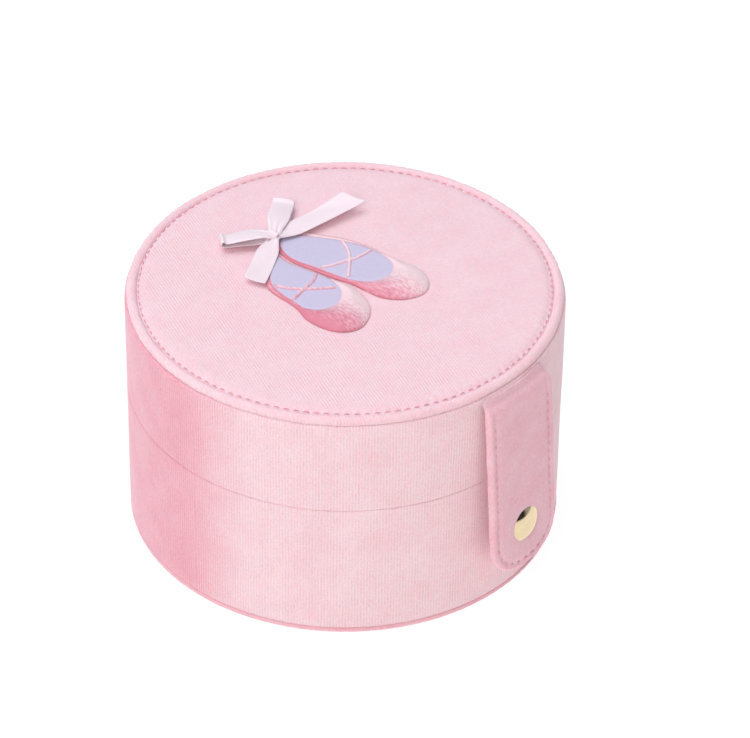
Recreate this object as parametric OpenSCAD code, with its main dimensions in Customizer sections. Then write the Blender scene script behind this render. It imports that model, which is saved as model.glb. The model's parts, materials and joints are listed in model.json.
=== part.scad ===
// Round velvet jewellery box with a hinged lid, a snap strap, and a pair of
// ballet slippers with a satin bow on the lid. Millimetres, +Z up.
// The origin is the centre of the underside. The strap faces -Y, the hinge is at +Y.

/* [Body] */
// Radius of the lid's rolled rim
rim_r = 58; // [50:1:75]
// Height from the underside to the top of the lid panel
box_h = 71.2; // [60:0.2:90]
// Height at which the lid parts from the base
part_z = 41.6; // [36:0.1:48]
// Open gap between lid and base at the parting line
part_gap = 0.3; // [0.2:0.05:0.6]
// How far the wall stands proud of the rim
wall_proud = 0.5; // [-0.5:0.1:1]
// Thickness of the velvet on the walls
velvet_t = 0.8; // [0.5:0.1:1.5]

/* [Boards] */
// Thickness of the lid's hoop board
lid_board_t = 2; // [1.5:0.1:3]
// Thickness of the lid's lining
lid_lining_t = 0.5; // [0.3:0.1:1]
// Running gap between the neck ring and the lid's lining
neck_gap = 0.35; // [0.25:0.05:0.8]
// Thickness of the neck ring that locates the lid
neck_t = 1.2; // [0.8:0.1:2]
// Height that the neck ring stands above the parting line
neck_rise = 4; // [2:0.5:7]
// Thickness of the base lining
base_lining_t = 0.6; // [0.4:0.1:1]
// Thickness of the bottom board
bottom_board_t = 1.2; // [1:0.1:2.5]
// Thickness of the velvet under the bottom
bottom_cover_t = 0.8; // [0.5:0.1:1.5]

/* [Lid panel] */
// Thickness of the stitched top panel
panel_t = 2.7; // [2.2:0.1:4]
// Thickness of the board under the top panel
top_board_t = 2; // [1.5:0.1:3]
// Thickness of the foam in the top panel
pad_t = 1.5; // [1:0.1:2]
// Distance from the rim's edge to its row of stitches
rim_stitch_inset = 3.3; // [2.8:0.1:5]
// Radius of the filler cord in the rolled rim
rim_cord_r = 0.6; // [0.4:0.1:0.8]
// Radius of the mirror in the lid
mirror_r = 38; // [25:1:42]
// Thickness of the mirror
mirror_t = 2; // [1.5:0.1:3]
// Width of the padded ring round the mirror
bezel_w = 7; // [4:0.5:9]

/* [Inside] */
// Thickness of the padded floor
floor_t = 2; // [1.5:0.5:4]
// Thickness of a divider
divider_t = 2.4; // [1.5:0.1:4]
// Height of the top of the dividers above the underside
divider_z = 34; // [24:1:35]
// Number of ring rolls
roll_count = 4; // [3:1:4]
// Radius of a ring roll
roll_r = 4.9; // [4:0.1:5.2]
// Height of the block under the ring rolls
roll_block_h = 17; // [10:1:19]

/* [Strap] */
// Width of the strap
strap_w = 25; // [18:0.5:34]
// Distance from the snap's centre to the strap's tip
strap_tip = 13.3; // [10:0.1:16]
// Width of the flat at the strap's tip
strap_flat = 3; // [0:0.5:8]
// Whole thickness of the strap
strap_t = 2.3; // [2:0.1:3]
// Lean of the strap away from the wall, in degrees
strap_lean = 4; // [3.5:0.1:5]
// Distance from the wall to the strap's outer face at the rim
strap_out = 2.6; // [2.6:0.1:4]
// Distance from the strap's edge to its row of stitches
strap_stitch_inset = 2.8; // [2:0.1:4]

/* [Snap] */
// Height of the snap's centre above the underside
snap_h = 25; // [20:0.5:29]
// Radius of the snap's domed cap
cap_r = 5.1; // [4:0.1:6.5]
// Height of the cap's dome
cap_h = 1.3; // [1:0.1:2.2]
// Radius of the stud's ball
stud_r = 1.9; // [1.5:0.1:2.3]
// Clearance round the stud in its socket
stud_gap = 0.35; // [0.25:0.05:0.5]

/* [Stitches] */
// Distance from one stitch to the next
stitch_pitch = 2.6; // [2:0.05:5]
// Radius of the sewing thread
thread_r = 0.22; // [0.15:0.01:0.3]

/* [Slippers and bow] */
// Width of the satin ribbon
ribbon_w = 6; // [4:0.5:8]
// Thickness of the satin ribbon
ribbon_t = 0.35; // [0.3:0.05:0.6]
// Height of the padded slippers above the lid
slipper_t = 0.9; // [0.6:0.1:1.5]
// Size of the slipper design, as a share of its drawn size
slipper_scale = 1; // [0.7:0.05:1.15]
// Length of a bow loop
loop_l = 15; // [10:0.5:18]
// Length of the left bow tail
left_tail_l = 19; // [12:1:24]
// Length of the right bow tail
right_tail_l = 26; // [16:1:28]

/* [Hidden] */
$fn = 96;

pink = "#f2bcc8";
deep_pink = "#e79bb0";
pale_pink = "#fbe9ec";
lilac = "#ccd0ea";
board = "#b9b2a4";
gold = "#d9c08a";

// How far the padded ring reaches in over the mirror's edge
bezel_lap = 0.5;

// Radii of the wall, from the outside in
wall_r = rim_r + wall_proud;
board_r = wall_r - velvet_t;
lid_board_in_r = board_r - lid_board_t;
lid_in_r = lid_board_in_r - lid_lining_t;
neck_r = lid_in_r - neck_gap;
neck_in_r = neck_r - neck_t;
inside_r = neck_in_r - base_lining_t;

// Heights, from the underside up
piping_r = (bottom_cover_t + bottom_board_t) / 2;
wall_z = bottom_cover_t + bottom_board_t;
base_top_z = part_z - part_gap / 2;
lid_z = part_z + part_gap / 2;
panel_z = box_h - panel_t;
floor_z = wall_z + floor_t;
ceiling_z = panel_z - top_board_t;
neck_top_z = part_z + neck_rise;

// Rolled rim and its stitched groove
edge_r = panel_t / 2;
rim_stitch_r = rim_r - rim_stitch_inset;
groove_r = 0.45;
thread_gap = 0.04;
stitch_share = 0.72;
pad_inset = 0.8;
pad_r = rim_stitch_r - pad_inset;

// Hinge tape, and the hinge line on its outer face
tape_t = 0.5;
tape_h = 9;
tape_angle = 20;
hinge_y = wall_r + tape_t;

// Strap, drawn in its own frame: top outer edge at the origin, inwards is +Y, down is -Z
strap_y = -(wall_r + strap_out);
strap_top_z = panel_z - 1.4;
strap_end_r = (strap_w - strap_flat) / 2;
strap_skin_t = 1;
strap_lining_t = 0.6;
strap_core_t = strap_t - strap_skin_t - strap_lining_t;
strap_hem = 1.4;
snap_down = (strap_top_z - snap_h) / cos(strap_lean);
strap_l = snap_down + strap_tip;
snap_y = strap_y - snap_down * sin(strap_lean);

// Root tab of the strap, round the line that the strap turns about
root_y = -(wall_r + 1.1);
root_z = panel_z - 0.5;
root_reach = 0.3;
root_t = 0.85;
root_gap = 0.08;

// Snap pieces
post_r = 1.1;
post_gap = 0.1;
flange_r = 4.3;
flange_t = 0.6;
flange_sink = 0.25;
stud_neck = 0.25;
stud_tip_gap = 0.4;
socket_wall = 2.3;
socket_floor_t = 0.5;
socket_gap = 0.7;
rivet_t = 0.7;
rivet_grip = 1.2;
stud_seat_y = -(wall_r - flange_sink);
flange_y = stud_seat_y - flange_t;
strap_back_y = snap_y + strap_t / cos(strap_lean);
socket_h = flange_y - strap_back_y - socket_gap;
stud_l = flange_y - strap_back_y - socket_floor_t - stud_tip_gap;
stud_z = snap_h - tan(strap_lean) * (flange_y - stud_l / 2 - snap_y);

// Slipper and bow places on the lid
knot_at = [1, 26.5];
knot_r = 2.2;
knot_h = 3.4;
bow_z = box_h + slipper_t + 0.15;
bow_start = knot_r + 0.05;
loop_end_r = 1.6;
loop_root_r = 0.4;
left_loop_angle = 141;
right_loop_angle = 33;
left_tail_angle = 208;
right_tail_angle = -7;
right_tail_rise = 4;
insole_drop = 0.3;
band_w = 1.1;
band_t = 0.3;

// Ring rolls, each resting on a narrow flat
roll_gap = 0.3;
roll_pitch = 2 * roll_r + roll_gap;
roll_wall_gap = 0.6;
roll_flat = 0.6;
divider_gap = 0.2;
block_top_z = floor_z + roll_block_h;
divider_x = 0;

// Fabric turned over the edges of the two walls
turn_t = 0.4;

// Point on a Catmull-Rom curve from b to c, at share t
function curve_point(a, b, c, d, t) =
    0.5 * (2 * b + (c - a) * t + (2 * a - 5 * b + 4 * c - d) * t * t
        + (3 * b - a - 3 * c + d) * t * t * t);

// Smooth closed outline through the points p
function closed_curve(p, steps = 6) = let (n = len(p))
    [for (i = [0 : n - 1], s = [0 : steps - 1])
        curve_point(p[(i + n - 1) % n], p[i], p[(i + 1) % n], p[(i + 2) % n], s / steps)];

// Smooth open line through the points p
function open_curve(p, steps = 6) = let (n = len(p))
    [for (i = [0 : n - 2], s = [0 : (i == n - 2 ? steps : steps - 1)])
        curve_point(p[max(i - 1, 0)], p[i], p[i + 1], p[min(i + 2, n - 1)], s / steps)];

// Outline of a strip of width w along the line p
function strip(p, w) = let (
    n = len(p),
    side = [for (i = [0 : n - 1]) let (
        d = p[min(i + 1, n - 1)] - p[max(i - 1, 0)]) [-d[1], d[0]] / norm(d) * w / 2])
    concat([for (i = [0 : n - 1]) p[i] + side[i]],
        [for (i = [n - 1 : -1 : 0]) p[i] - side[i]]);

// The slippers, seen from above with their toes towards -Y and their heels under the bow
right_slipper = [[1.2, 26.6], [6.0, 28.0], [9.4, 24.9], [12.0, 19.6], [14.9, 13.8], [16.7, 6.4],
    [16.8, 0.5], [17.3, -5.0], [18.2, -9.2], [16.9, -13.8], [13.9, -17.2], [10.2, -18.2],
    [6.2, -16.7], [3.3, -13.8], [1.6, -10.2], [1.2, -5.4], [0.8, -1.0], [-0.4, 4.2],
    [-1.3, 10.2], [-2.3, 16.5], [-1.5, 21.8]];
right_insole = [[2.4, 24.9], [5.6, 25.2], [9.2, 20.0], [12.7, 13.6], [14.9, 7.2], [15.4, 1.2],
    [14.2, -3.5], [11.4, -5.8], [8.0, -6.0], [4.6, -4.2], [2.2, -0.4], [0.9, 4.8],
    [0.1, 10.2], [-1.0, 15.8], [-0.3, 20.8]];
right_bands = [[[13.6, 14.2], [11.4, 9.5], [8.3, 5.9], [2.0, 0.8]],
    [[15.8, 4.4], [10.2, 4.8], [7.4, 5.9], [3.2, 7.4], [0.2, 9.0]]];
left_slipper = [[0.0, 25.9], [-4.6, 23.9], [-10.2, 19.4], [-13.9, 16.1], [-15.6, 12.8],
    [-16.2, 8.6], [-16.4, 4.6], [-17.2, 0.9], [-18.5, -2.4], [-18.8, -6.2], [-18.1, -10.4],
    [-16.2, -13.8], [-12.8, -15.8], [-9.1, -15.5], [-4.9, -13.3], [-1.9, -9.7], [-0.5, -5.6],
    [-0.1, -1.6], [-1.0, 4.0], [-2.0, 10.0], [-3.1, 16.4], [-2.4, 21.8]];
left_insole = [[-2.2, 23.4], [-5.2, 22.0], [-10.0, 17.6], [-13.2, 14.0], [-14.6, 9.4],
    [-15.0, 4.4], [-15.2, 0.2], [-13.0, -3.1], [-9.4, -4.3], [-6.0, -3.3], [-3.3, -0.4],
    [-2.3, 4.4], [-3.0, 10.2], [-4.0, 16.0], [-3.5, 20.8]];
left_bands = [[[-14.0, 13.6], [-12.9, 10.0], [-9.4, 5.3], [-3.7, 0.1]],
    [[-2.4, 8.0], [-5.9, 6.4], [-9.5, 5.8], [-15.4, 4.8]]];

module ring(outer_r, inner_r, z0, z1) {
    translate([0, 0, z0])
        difference() {
            cylinder(r = outer_r, h = z1 - z0);
            translate([0, 0, -1])
                cylinder(r = inner_r, h = z1 - z0 + 2);
        }
}

module disc(r, z0, z1) {
    translate([0, 0, z0])
        cylinder(r = r, h = z1 - z0);
}

module torus(ring_r, tube_r, z) {
    translate([0, 0, z])
        rotate_extrude()
            translate([ring_r, 0])
                circle(r = tube_r);
}

// Solid of depth h along +Y, from an outline drawn in X and Z
module upright(h) {
    rotate([90, 0, 0])
        translate([0, 0, -h])
            linear_extrude(height = h)
                children();
}

module bottom_cover() {
    color(pink)
        difference() {
            disc(board_r - piping_r, 0, bottom_cover_t);
            torus(wall_r - piping_r, piping_r, piping_r);
        }
}

module bottom_board() {
    color(board)
        difference() {
            disc(board_r - piping_r, bottom_cover_t, wall_z);
            torus(wall_r - piping_r, piping_r, piping_r);
        }
}

module bottom_piping() {
    color(deep_pink)
        torus(wall_r - piping_r, piping_r, piping_r);
}

// Round hole of radius r through the front wall at the stud, from y0 to y1
module stud_hole(r, y0, y1) {
    translate([0, y0, stud_z])
        rotate([-90, 0, 0])
            cylinder(r = r, h = y1 - y0, $fn = 48);
}

module base_wall_board() {
    color(board)
        difference() {
            ring(board_r, neck_r, wall_z, base_top_z - turn_t);
            stud_hole(post_r + post_gap, strap_y, -neck_in_r);
            stud_hole(flange_r + post_gap, -neck_r - rivet_t, -neck_in_r);
        }
}

module base_wall_cover() {
    color(pink)
        difference() {
            union() {
                ring(wall_r, board_r, wall_z, base_top_z);
                ring(wall_r, neck_r, base_top_z - turn_t, base_top_z);
            }
            stud_hole(post_r + post_gap, strap_y, -neck_in_r);
            stud_hole(flange_r + post_gap, strap_y, stud_seat_y);
        }
}

module neck_ring() {
    color(board)
        ring(neck_r, neck_in_r, wall_z, neck_top_z - base_lining_t);
}

module base_lining() {
    color(pale_pink)
        union() {
            ring(neck_in_r, inside_r, wall_z, neck_top_z - base_lining_t);
            ring(neck_r, inside_r, neck_top_z - base_lining_t, neck_top_z);
        }
}

module floor_pad() {
    color(pale_pink)
        disc(inside_r, wall_z, floor_z);
}

module long_divider() {
    color(deep_pink)
        intersection() {
            disc(inside_r, floor_z, divider_z);
            translate([divider_x - divider_t / 2, -inside_r, floor_z])
                cube([divider_t, 2 * inside_r, divider_z - floor_z]);
        }
}

module cross_divider() {
    color(deep_pink)
        intersection() {
            disc(inside_r, floor_z, divider_z);
            translate([divider_x + divider_t / 2, -divider_t / 2, floor_z])
                cube([inside_r, divider_t, divider_z - floor_z]);
        }
}

module ring_roll_block() {
    color(pale_pink)
        intersection() {
            disc(inside_r, floor_z, block_top_z);
            translate([divider_x - divider_t / 2 - 2 * inside_r, -inside_r, floor_z])
                cube([2 * inside_r, 2 * inside_r, roll_block_h]);
        }
}

// Rolls lie side by side on the block, each as long as the round wall lets it be
module ring_rolls() {
    first_x = divider_x - divider_t / 2 - roll_r - divider_gap;
    color(pale_pink)
        for (i = [0 : roll_count - 1]) {
            x = first_x - i * roll_pitch;
            reach = sqrt(pow(inside_r - roll_wall_gap, 2) - pow(abs(x) + roll_r, 2));
            difference() {
                translate([x, reach, block_top_z + roll_r - roll_flat])
                    rotate([90, 0, 0])
                        cylinder(r = roll_r, h = 2 * reach);
                translate([x - roll_r, -inside_r, block_top_z - roll_r])
                    cube([2 * roll_r, 2 * inside_r, roll_r]);
            }
        }
}

module snap_stud() {
    ball_l = stud_l / 3;
    neck_l = stud_l - ball_l;
    color(gold)
        translate([0, stud_seat_y, stud_z])
            rotate([90, 0, 0])
                difference() {
                    union() {
                        cylinder(r = flange_r, h = flange_t, $fn = 48);
                        cylinder(r = stud_r - stud_neck, h = flange_t + neck_l, $fn = 48);
                        translate([0, 0, flange_t + neck_l])
                            cylinder(r1 = stud_r - stud_neck, r2 = stud_r, h = ball_l / 3, $fn = 48);
                        translate([0, 0, flange_t + neck_l + ball_l / 3])
                            cylinder(r1 = stud_r, r2 = stud_r - 2 * stud_neck, h = ball_l * 2 / 3,
                                $fn = 48);
                    }
                    translate([0, 0, -1])
                        cylinder(r = post_r, h = rivet_grip + 1, $fn = 48);
                }
}

module snap_stud_rivet() {
    color(gold) {
        stud_hole(flange_r, -neck_r - rivet_t, -neck_r);
        stud_hole(post_r, stud_seat_y - rivet_grip, -neck_r - rivet_t / 2);
    }
}

// Curved strip of tape on the back of the wall
module hinge_tape(z0, z1) {
    color(deep_pink)
        translate([0, 0, z0])
            rotate([0, 0, 90 - tape_angle])
                rotate_extrude(angle = 2 * tape_angle)
                    translate([wall_r, 0])
                        square([tape_t, z1 - z0]);
}

module lid_wall_board() {
    color(board)
        ring(board_r, lid_board_in_r, lid_z + turn_t, panel_z);
}

module lid_wall_cover() {
    color(pink)
        union() {
            ring(wall_r, board_r, lid_z, panel_z);
            ring(wall_r, lid_board_in_r, lid_z, lid_z + turn_t);
        }
}

module lid_lining() {
    color(pale_pink)
        union() {
            ring(lid_board_in_r, lid_in_r, lid_z, ceiling_z);
            disc(lid_in_r, ceiling_z - lid_lining_t, ceiling_z);
        }
}

module lid_top_board() {
    color(board)
        disc(lid_board_in_r, ceiling_z, panel_z);
}

module lid_foam_pad() {
    color("#f4efe4")
        disc(pad_r, panel_z, panel_z + pad_t);
}

module lid_top_panel() {
    color(pink)
        difference() {
            union() {
                disc(rim_r - edge_r, panel_z, box_h);
                torus(rim_r - edge_r, edge_r, panel_z + edge_r);
            }
            disc(pad_r, panel_z - 1, panel_z + pad_t);
            torus(rim_r - edge_r, rim_cord_r, panel_z + edge_r);
            torus(rim_stitch_r, groove_r, box_h);
        }
}

module rim_filler_cord() {
    color(pale_pink)
        torus(rim_r - edge_r, rim_cord_r, panel_z + edge_r);
}

// One stitch along +X, centred, of the thread's radius
module stitch(length) {
    rotate([0, 90, 0])
        translate([0, 0, -length / 2])
            cylinder(r = thread_r, h = length, $fn = 24);
}

module rim_topstitch() {
    count = round(2 * PI * rim_stitch_r / stitch_pitch);
    color(deep_pink)
        for (i = [0 : count - 1])
            rotate([0, 0, i * 360 / count])
                translate([0, -rim_stitch_r, box_h - groove_r + thread_r + thread_gap / 2])
                    stitch(stitch_pitch * stitch_share);
}

module lid_mirror() {
    color("#dfe6ea")
        disc(mirror_r, ceiling_z - lid_lining_t - mirror_t, ceiling_z - lid_lining_t);
}

module mirror_bezel() {
    color(deep_pink)
        translate([0, 0, ceiling_z - lid_lining_t])
            difference() {
                rotate_extrude()
                    difference() {
                        translate([mirror_r + bezel_w / 2 - bezel_lap, 0])
                            circle(r = bezel_w / 2);
                        square([mirror_r + bezel_w, bezel_w]);
                    }
                translate([0, 0, -mirror_t])
                    cylinder(r = mirror_r, h = mirror_t + 1);
            }
}

// Smooth outline through the points p, at the size of the slipper design
module drawn(p) {
    polygon(closed_curve(p * slipper_scale));
}

module slipper_satin(outline, insole) {
    color(deep_pink)
        translate([0, 0, box_h])
            linear_extrude(height = slipper_t)
                difference() {
                    drawn(outline);
                    drawn(insole);
                }
}

module slipper_insole(insole) {
    color(lilac)
        translate([0, 0, box_h])
            linear_extrude(height = slipper_t - insole_drop)
                drawn(insole);
}

module slipper_ribbons(insole, bands) {
    color(pale_pink)
        translate([0, 0, box_h + slipper_t - insole_drop])
            linear_extrude(height = band_t)
                intersection() {
                    drawn(insole);
                    for (line = bands)
                        polygon(strip(open_curve(line * slipper_scale), band_w));
                }
}

// Places a shape at the knot, pointing at an angle round it
module at_knot(angle, z) {
    translate([knot_at[0] * slipper_scale, knot_at[1] * slipper_scale, z])
        rotate([0, 0, angle])
            children();
}

module bow_knot() {
    color(pale_pink)
        at_knot(0, bow_z)
            cylinder(r = knot_r, h = knot_h, $fn = 48);
}

// Loop of ribbon, seen from its side: a flat tear shape with a round end
module loop_profile(grow) {
    union() {
        translate([loop_l - loop_end_r, 0])
            circle(r = loop_end_r + grow, $fn = 48);
        polygon([[0, -loop_root_r - grow], [loop_l - loop_end_r, -loop_end_r - grow],
            [loop_l - loop_end_r, loop_end_r + grow], [0, loop_root_r + grow]]);
    }
}

module bow_loop(angle) {
    color(pale_pink)
        at_knot(angle, bow_z + loop_end_r + ribbon_t)
            translate([bow_start, ribbon_w / 2, 0])
                rotate([90, 0, 0])
                    linear_extrude(height = ribbon_w)
                        difference() {
                            loop_profile(ribbon_t / 2);
                            loop_profile(-ribbon_t / 2);
                        }
}

module bow_tail(angle, rise, length) {
    color(pale_pink)
        at_knot(angle, bow_z)
            translate([bow_start, -ribbon_w / 2, 0])
                rotate([0, -rise, 0])
                    cube([length - bow_start, ribbon_w, ribbon_t]);
}

// Outline of the strap, drawn in X and Z below its top edge, shrunk by inset
module strap_outline(inset) {
    w = strap_w / 2 - inset;
    bend_z = strap_end_r - strap_l;
    union() {
        translate([-w, bend_z])
            square([2 * w, -bend_z - inset]);
        translate([-strap_flat / 2, inset - strap_l])
            square([strap_flat, strap_end_r]);
        for (side = [-1, 1])
            translate([side * strap_flat / 2, bend_z])
                circle(r = strap_end_r - inset);
    }
}

// Places a shape from the strap's own frame on the front of the box
module on_strap() {
    translate([0, strap_y, strap_top_z])
        rotate([-strap_lean, 0, 0])
            children();
}

// Hole through the strap's layers for the cap's post
module post_hole() {
    translate([0, -1, -snap_down])
        rotate([-90, 0, 0])
            cylinder(r = post_r + post_gap, h = strap_t + 2, $fn = 48);
}

// Velvet root of the strap, sewn in the seam under the rim
module strap_root() {
    color(pink)
        difference() {
            translate([-strap_w / 2, root_y - root_reach, root_z - root_t / 2])
                cube([strap_w, strap_w, root_t]);
            disc(wall_r + root_gap, root_z - root_t, root_z + root_t, $fn = 360);
            translate([-strap_w, 0, root_z - root_t])
                cube([2 * strap_w, strap_w, 2 * root_t]);
        }
}

module strap_cover() {
    color(pink)
        on_strap()
            difference() {
                upright(strap_t - strap_lining_t / 2)
                    strap_outline(0);
                translate([0, strap_skin_t, 0])
                    upright(strap_t)
                        strap_outline(strap_hem);
                post_hole();
                stitch_groove();
            }
}

// Shallow channel that the strap's stitches sit in, open at the strap's top
module stitch_groove() {
    translate([0, -1, 0])
        upright(1 + 2 * thread_r + thread_gap)
            difference() {
                strap_outline(strap_stitch_inset - groove_r);
                strap_outline(strap_stitch_inset + groove_r);
            }
}

module strap_stiffener() {
    color(board)
        on_strap()
            difference() {
                translate([0, strap_skin_t, 0])
                    upright(strap_core_t)
                        strap_outline(strap_hem);
                post_hole();
            }
}

module strap_lining() {
    color(deep_pink)
        on_strap()
            difference() {
                translate([0, strap_skin_t + strap_core_t, 0])
                    upright(strap_lining_t)
                        strap_outline(strap_hem);
                post_hole();
            }
}

// Stitches up both edges and round the two corners of the tip
module strap_topstitch() {
    w = strap_w / 2 - strap_stitch_inset;
    bend_r = strap_end_r - strap_stitch_inset;
    rows = floor((strap_l - strap_end_r - strap_stitch_inset) / stitch_pitch);
    turns = round(PI / 2 * bend_r / stitch_pitch);
    color(deep_pink)
        on_strap()
            translate([0, thread_r + thread_gap / 2, strap_end_r - strap_l])
                for (side = [-1, 1]) {
                    for (i = [0 : rows - 1])
                        translate([side * w, 0, (i + 0.5) * stitch_pitch])
                            rotate([0, 90, 0])
                                stitch(stitch_pitch * stitch_share);
                    for (i = [0 : turns - 1])
                        translate([side * strap_flat / 2, 0, 0])
                            rotate([0, side * (i + 0.5) * 90 / turns, 0])
                                translate([side * bend_r, 0, 0])
                                    rotate([0, 90, 0])
                                        stitch(stitch_pitch * stitch_share);
                }
}

// Domed cap whose post goes through the strap into the socket
module snap_cap() {
    dome_r = (cap_r * cap_r + cap_h * cap_h) / (2 * cap_h);
    color(gold)
        on_strap()
            translate([0, 0, -snap_down])
                rotate([90, 0, 0])
                    union() {
                        intersection() {
                            cylinder(r = cap_r, h = cap_h + 1);
                            translate([0, 0, cap_h - dome_r])
                                sphere(r = dome_r);
                        }
                        translate([0, 0, -strap_t - socket_floor_t])
                            cylinder(r = post_r, h = strap_t + socket_floor_t + 0.1, $fn = 48);
                    }
}

module snap_socket() {
    color(gold)
        on_strap()
            translate([0, strap_t, -snap_down])
                rotate([-90, 0, 0])
                    difference() {
                        cylinder(r = stud_r + socket_wall, h = socket_h, $fn = 48);
                        translate([0, 0, -1])
                            cylinder(r = post_r, h = socket_h, $fn = 48);
                        translate([0, 0, socket_floor_t])
                            cylinder(r = stud_r + stud_gap, h = socket_h, $fn = 48);
                    }
}

bottom_cover();
bottom_board();
bottom_piping();
base_wall_board();
base_wall_cover();
neck_ring();
base_lining();
floor_pad();
long_divider();
cross_divider();
ring_roll_block();
ring_rolls();
snap_stud();
snap_stud_rivet();
hinge_tape(base_top_z - tape_h, base_top_z);  // base_hinge_tape
hinge_tape(lid_z, lid_z + tape_h);  // lid_hinge_tape
lid_wall_board();
lid_wall_cover();
lid_lining();
lid_top_board();
lid_foam_pad();
lid_top_panel();
rim_filler_cord();
rim_topstitch();
lid_mirror();
mirror_bezel();
slipper_satin(left_slipper, left_insole);  // left_slipper_satin
slipper_satin(right_slipper, right_insole);  // right_slipper_satin
slipper_insole(left_insole);  // left_slipper_insole
slipper_insole(right_insole);  // right_slipper_insole
slipper_ribbons(left_insole, left_bands);  // left_slipper_ribbons
slipper_ribbons(right_insole, right_bands);  // right_slipper_ribbons
bow_knot();
bow_loop(left_loop_angle);  // left_bow_loop
bow_loop(right_loop_angle);  // right_bow_loop
bow_tail(left_tail_angle, 0, left_tail_l);  // left_bow_tail
bow_tail(right_tail_angle, right_tail_rise, right_tail_l);  // right_bow_tail
strap_root();
strap_cover();
strap_stiffener();
strap_lining();
strap_topstitch();
snap_cap();
snap_socket();
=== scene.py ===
"""Looks of a round velvet jewellery case with a snap strap, ballet slippers and a ribbon bow on its lid.

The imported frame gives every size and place. Each sub-assembly is a class that builds its own pieces
and gives them their finishes. Lengths are in metres, +Z is up, the strap faces -Y and the hinge is at +Y.
"""

from __future__ import annotations

import json
import logging
import math
from contextlib import contextmanager
from dataclasses import dataclass, field
from enum import Enum
from functools import lru_cache
from typing import Any, Callable, Iterator, Sequence

import bpy
import numpy as np
from mathutils import Matrix, Vector, kdtree, noise

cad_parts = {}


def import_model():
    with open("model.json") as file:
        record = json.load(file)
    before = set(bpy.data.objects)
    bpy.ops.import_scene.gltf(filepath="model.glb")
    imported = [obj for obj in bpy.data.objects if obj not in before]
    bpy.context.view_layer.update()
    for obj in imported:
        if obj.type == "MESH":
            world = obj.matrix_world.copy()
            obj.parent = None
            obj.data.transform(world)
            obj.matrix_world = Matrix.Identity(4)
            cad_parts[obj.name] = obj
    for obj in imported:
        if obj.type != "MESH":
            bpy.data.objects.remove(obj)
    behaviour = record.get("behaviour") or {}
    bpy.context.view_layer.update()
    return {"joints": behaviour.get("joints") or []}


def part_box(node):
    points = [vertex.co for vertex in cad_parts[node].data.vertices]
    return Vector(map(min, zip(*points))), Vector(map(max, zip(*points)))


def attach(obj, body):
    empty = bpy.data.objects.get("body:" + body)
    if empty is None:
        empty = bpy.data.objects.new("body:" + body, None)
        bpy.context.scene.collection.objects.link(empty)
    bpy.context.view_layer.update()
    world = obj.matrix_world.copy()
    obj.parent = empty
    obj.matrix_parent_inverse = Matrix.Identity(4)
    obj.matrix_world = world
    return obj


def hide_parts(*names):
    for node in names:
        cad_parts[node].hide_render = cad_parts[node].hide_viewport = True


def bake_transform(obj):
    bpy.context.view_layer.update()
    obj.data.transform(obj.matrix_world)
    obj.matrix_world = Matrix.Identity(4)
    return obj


MM = 0.001
TAU = 2 * math.pi
TURN_IN = 0.38 * MM
LOG = logging.getLogger("jewellery_case")
Profile = list[tuple[float, float]]
Reshaper = Callable[[Vector], Vector]


# ---------------------------------------------------------------- modelling


def deselect() -> None:
    """Leaves nothing selected and nothing in edit mode."""
    if bpy.context.object and bpy.context.object.mode != "OBJECT":
        bpy.ops.object.mode_set(mode="OBJECT")
    bpy.ops.object.select_all(action="DESELECT")


def take(obj: bpy.types.Object) -> None:
    """Makes one object the selected and active one."""
    deselect()
    obj.select_set(True)
    bpy.context.view_layer.objects.active = obj


@contextmanager
def editing(obj: bpy.types.Object, pick_all: bool = True) -> Iterator[None]:
    """Edit mode on one object.

    Args:
        obj: The mesh object to edit.
        pick_all: Whether all of its mesh is selected first.

    Yields:
        Nothing.
    """
    take(obj)
    bpy.ops.object.mode_set(mode="EDIT")
    if pick_all:
        bpy.ops.mesh.select_all(action="SELECT")
    yield
    bpy.ops.object.mode_set(mode="OBJECT")


def named(name: str) -> bpy.types.Object:
    """Names the object that an operator has just added.

    Args:
        name: The piece's name.

    Returns:
        The object, with its place moved into its mesh.
    """
    obj = bpy.context.object
    obj.name = obj.data.name = name
    bpy.ops.object.transform_apply(location=True, rotation=True, scale=True)
    return obj


def trace(name: str, points: Sequence[Sequence[float]]) -> bpy.types.Object:
    """Draws a line of edges by extruding one vertex from point to point.

    Args:
        name: The piece's name.
        points: The points of the line, in metres.

    Returns:
        A mesh object of one open line.
    """
    deselect()
    bpy.ops.mesh.primitive_plane_add(size=MM)
    obj = named(name)
    with editing(obj):
        bpy.ops.mesh.merge(type="CENTER")
        bpy.ops.transform.translate(value=Vector(points[0]))
        for here, there in zip(points, points[1:]):
            step = Vector(there) - Vector(here)
            bpy.ops.mesh.extrude_region_move(TRANSFORM_OT_translate={"value": step})
    return obj


def close_up(obj: bpy.types.Object, gap: float = 0.004 * MM) -> bpy.types.Object:
    """Merges doubles and turns the faces outwards."""
    with editing(obj):
        bpy.ops.mesh.remove_doubles(threshold=gap)
        bpy.ops.mesh.normals_make_consistent(inside=False)
    return obj


def turn(name: str, profile: Profile, steps: int = 192) -> bpy.types.Object:
    """Turns a closed profile round +Z, as on a lathe.

    Args:
        name: The piece's name.
        profile: Radius and height pairs, in order round the profile; it is closed unless it meets the axis.
        steps: Number of steps in the full turn.

    Returns:
        A closed round solid.
    """
    points = [(r, 0.0, z) for r, z in profile]
    on_axis = profile[0][0] == 0 and profile[-1][0] == 0
    if not on_axis:
        points.append(points[0])
    obj = trace(name, points)
    with editing(obj):
        bpy.ops.mesh.spin(steps=steps, angle=TAU, center=(0, 0, 0), axis=(0, 0, 1))
    return close_up(obj)


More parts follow.
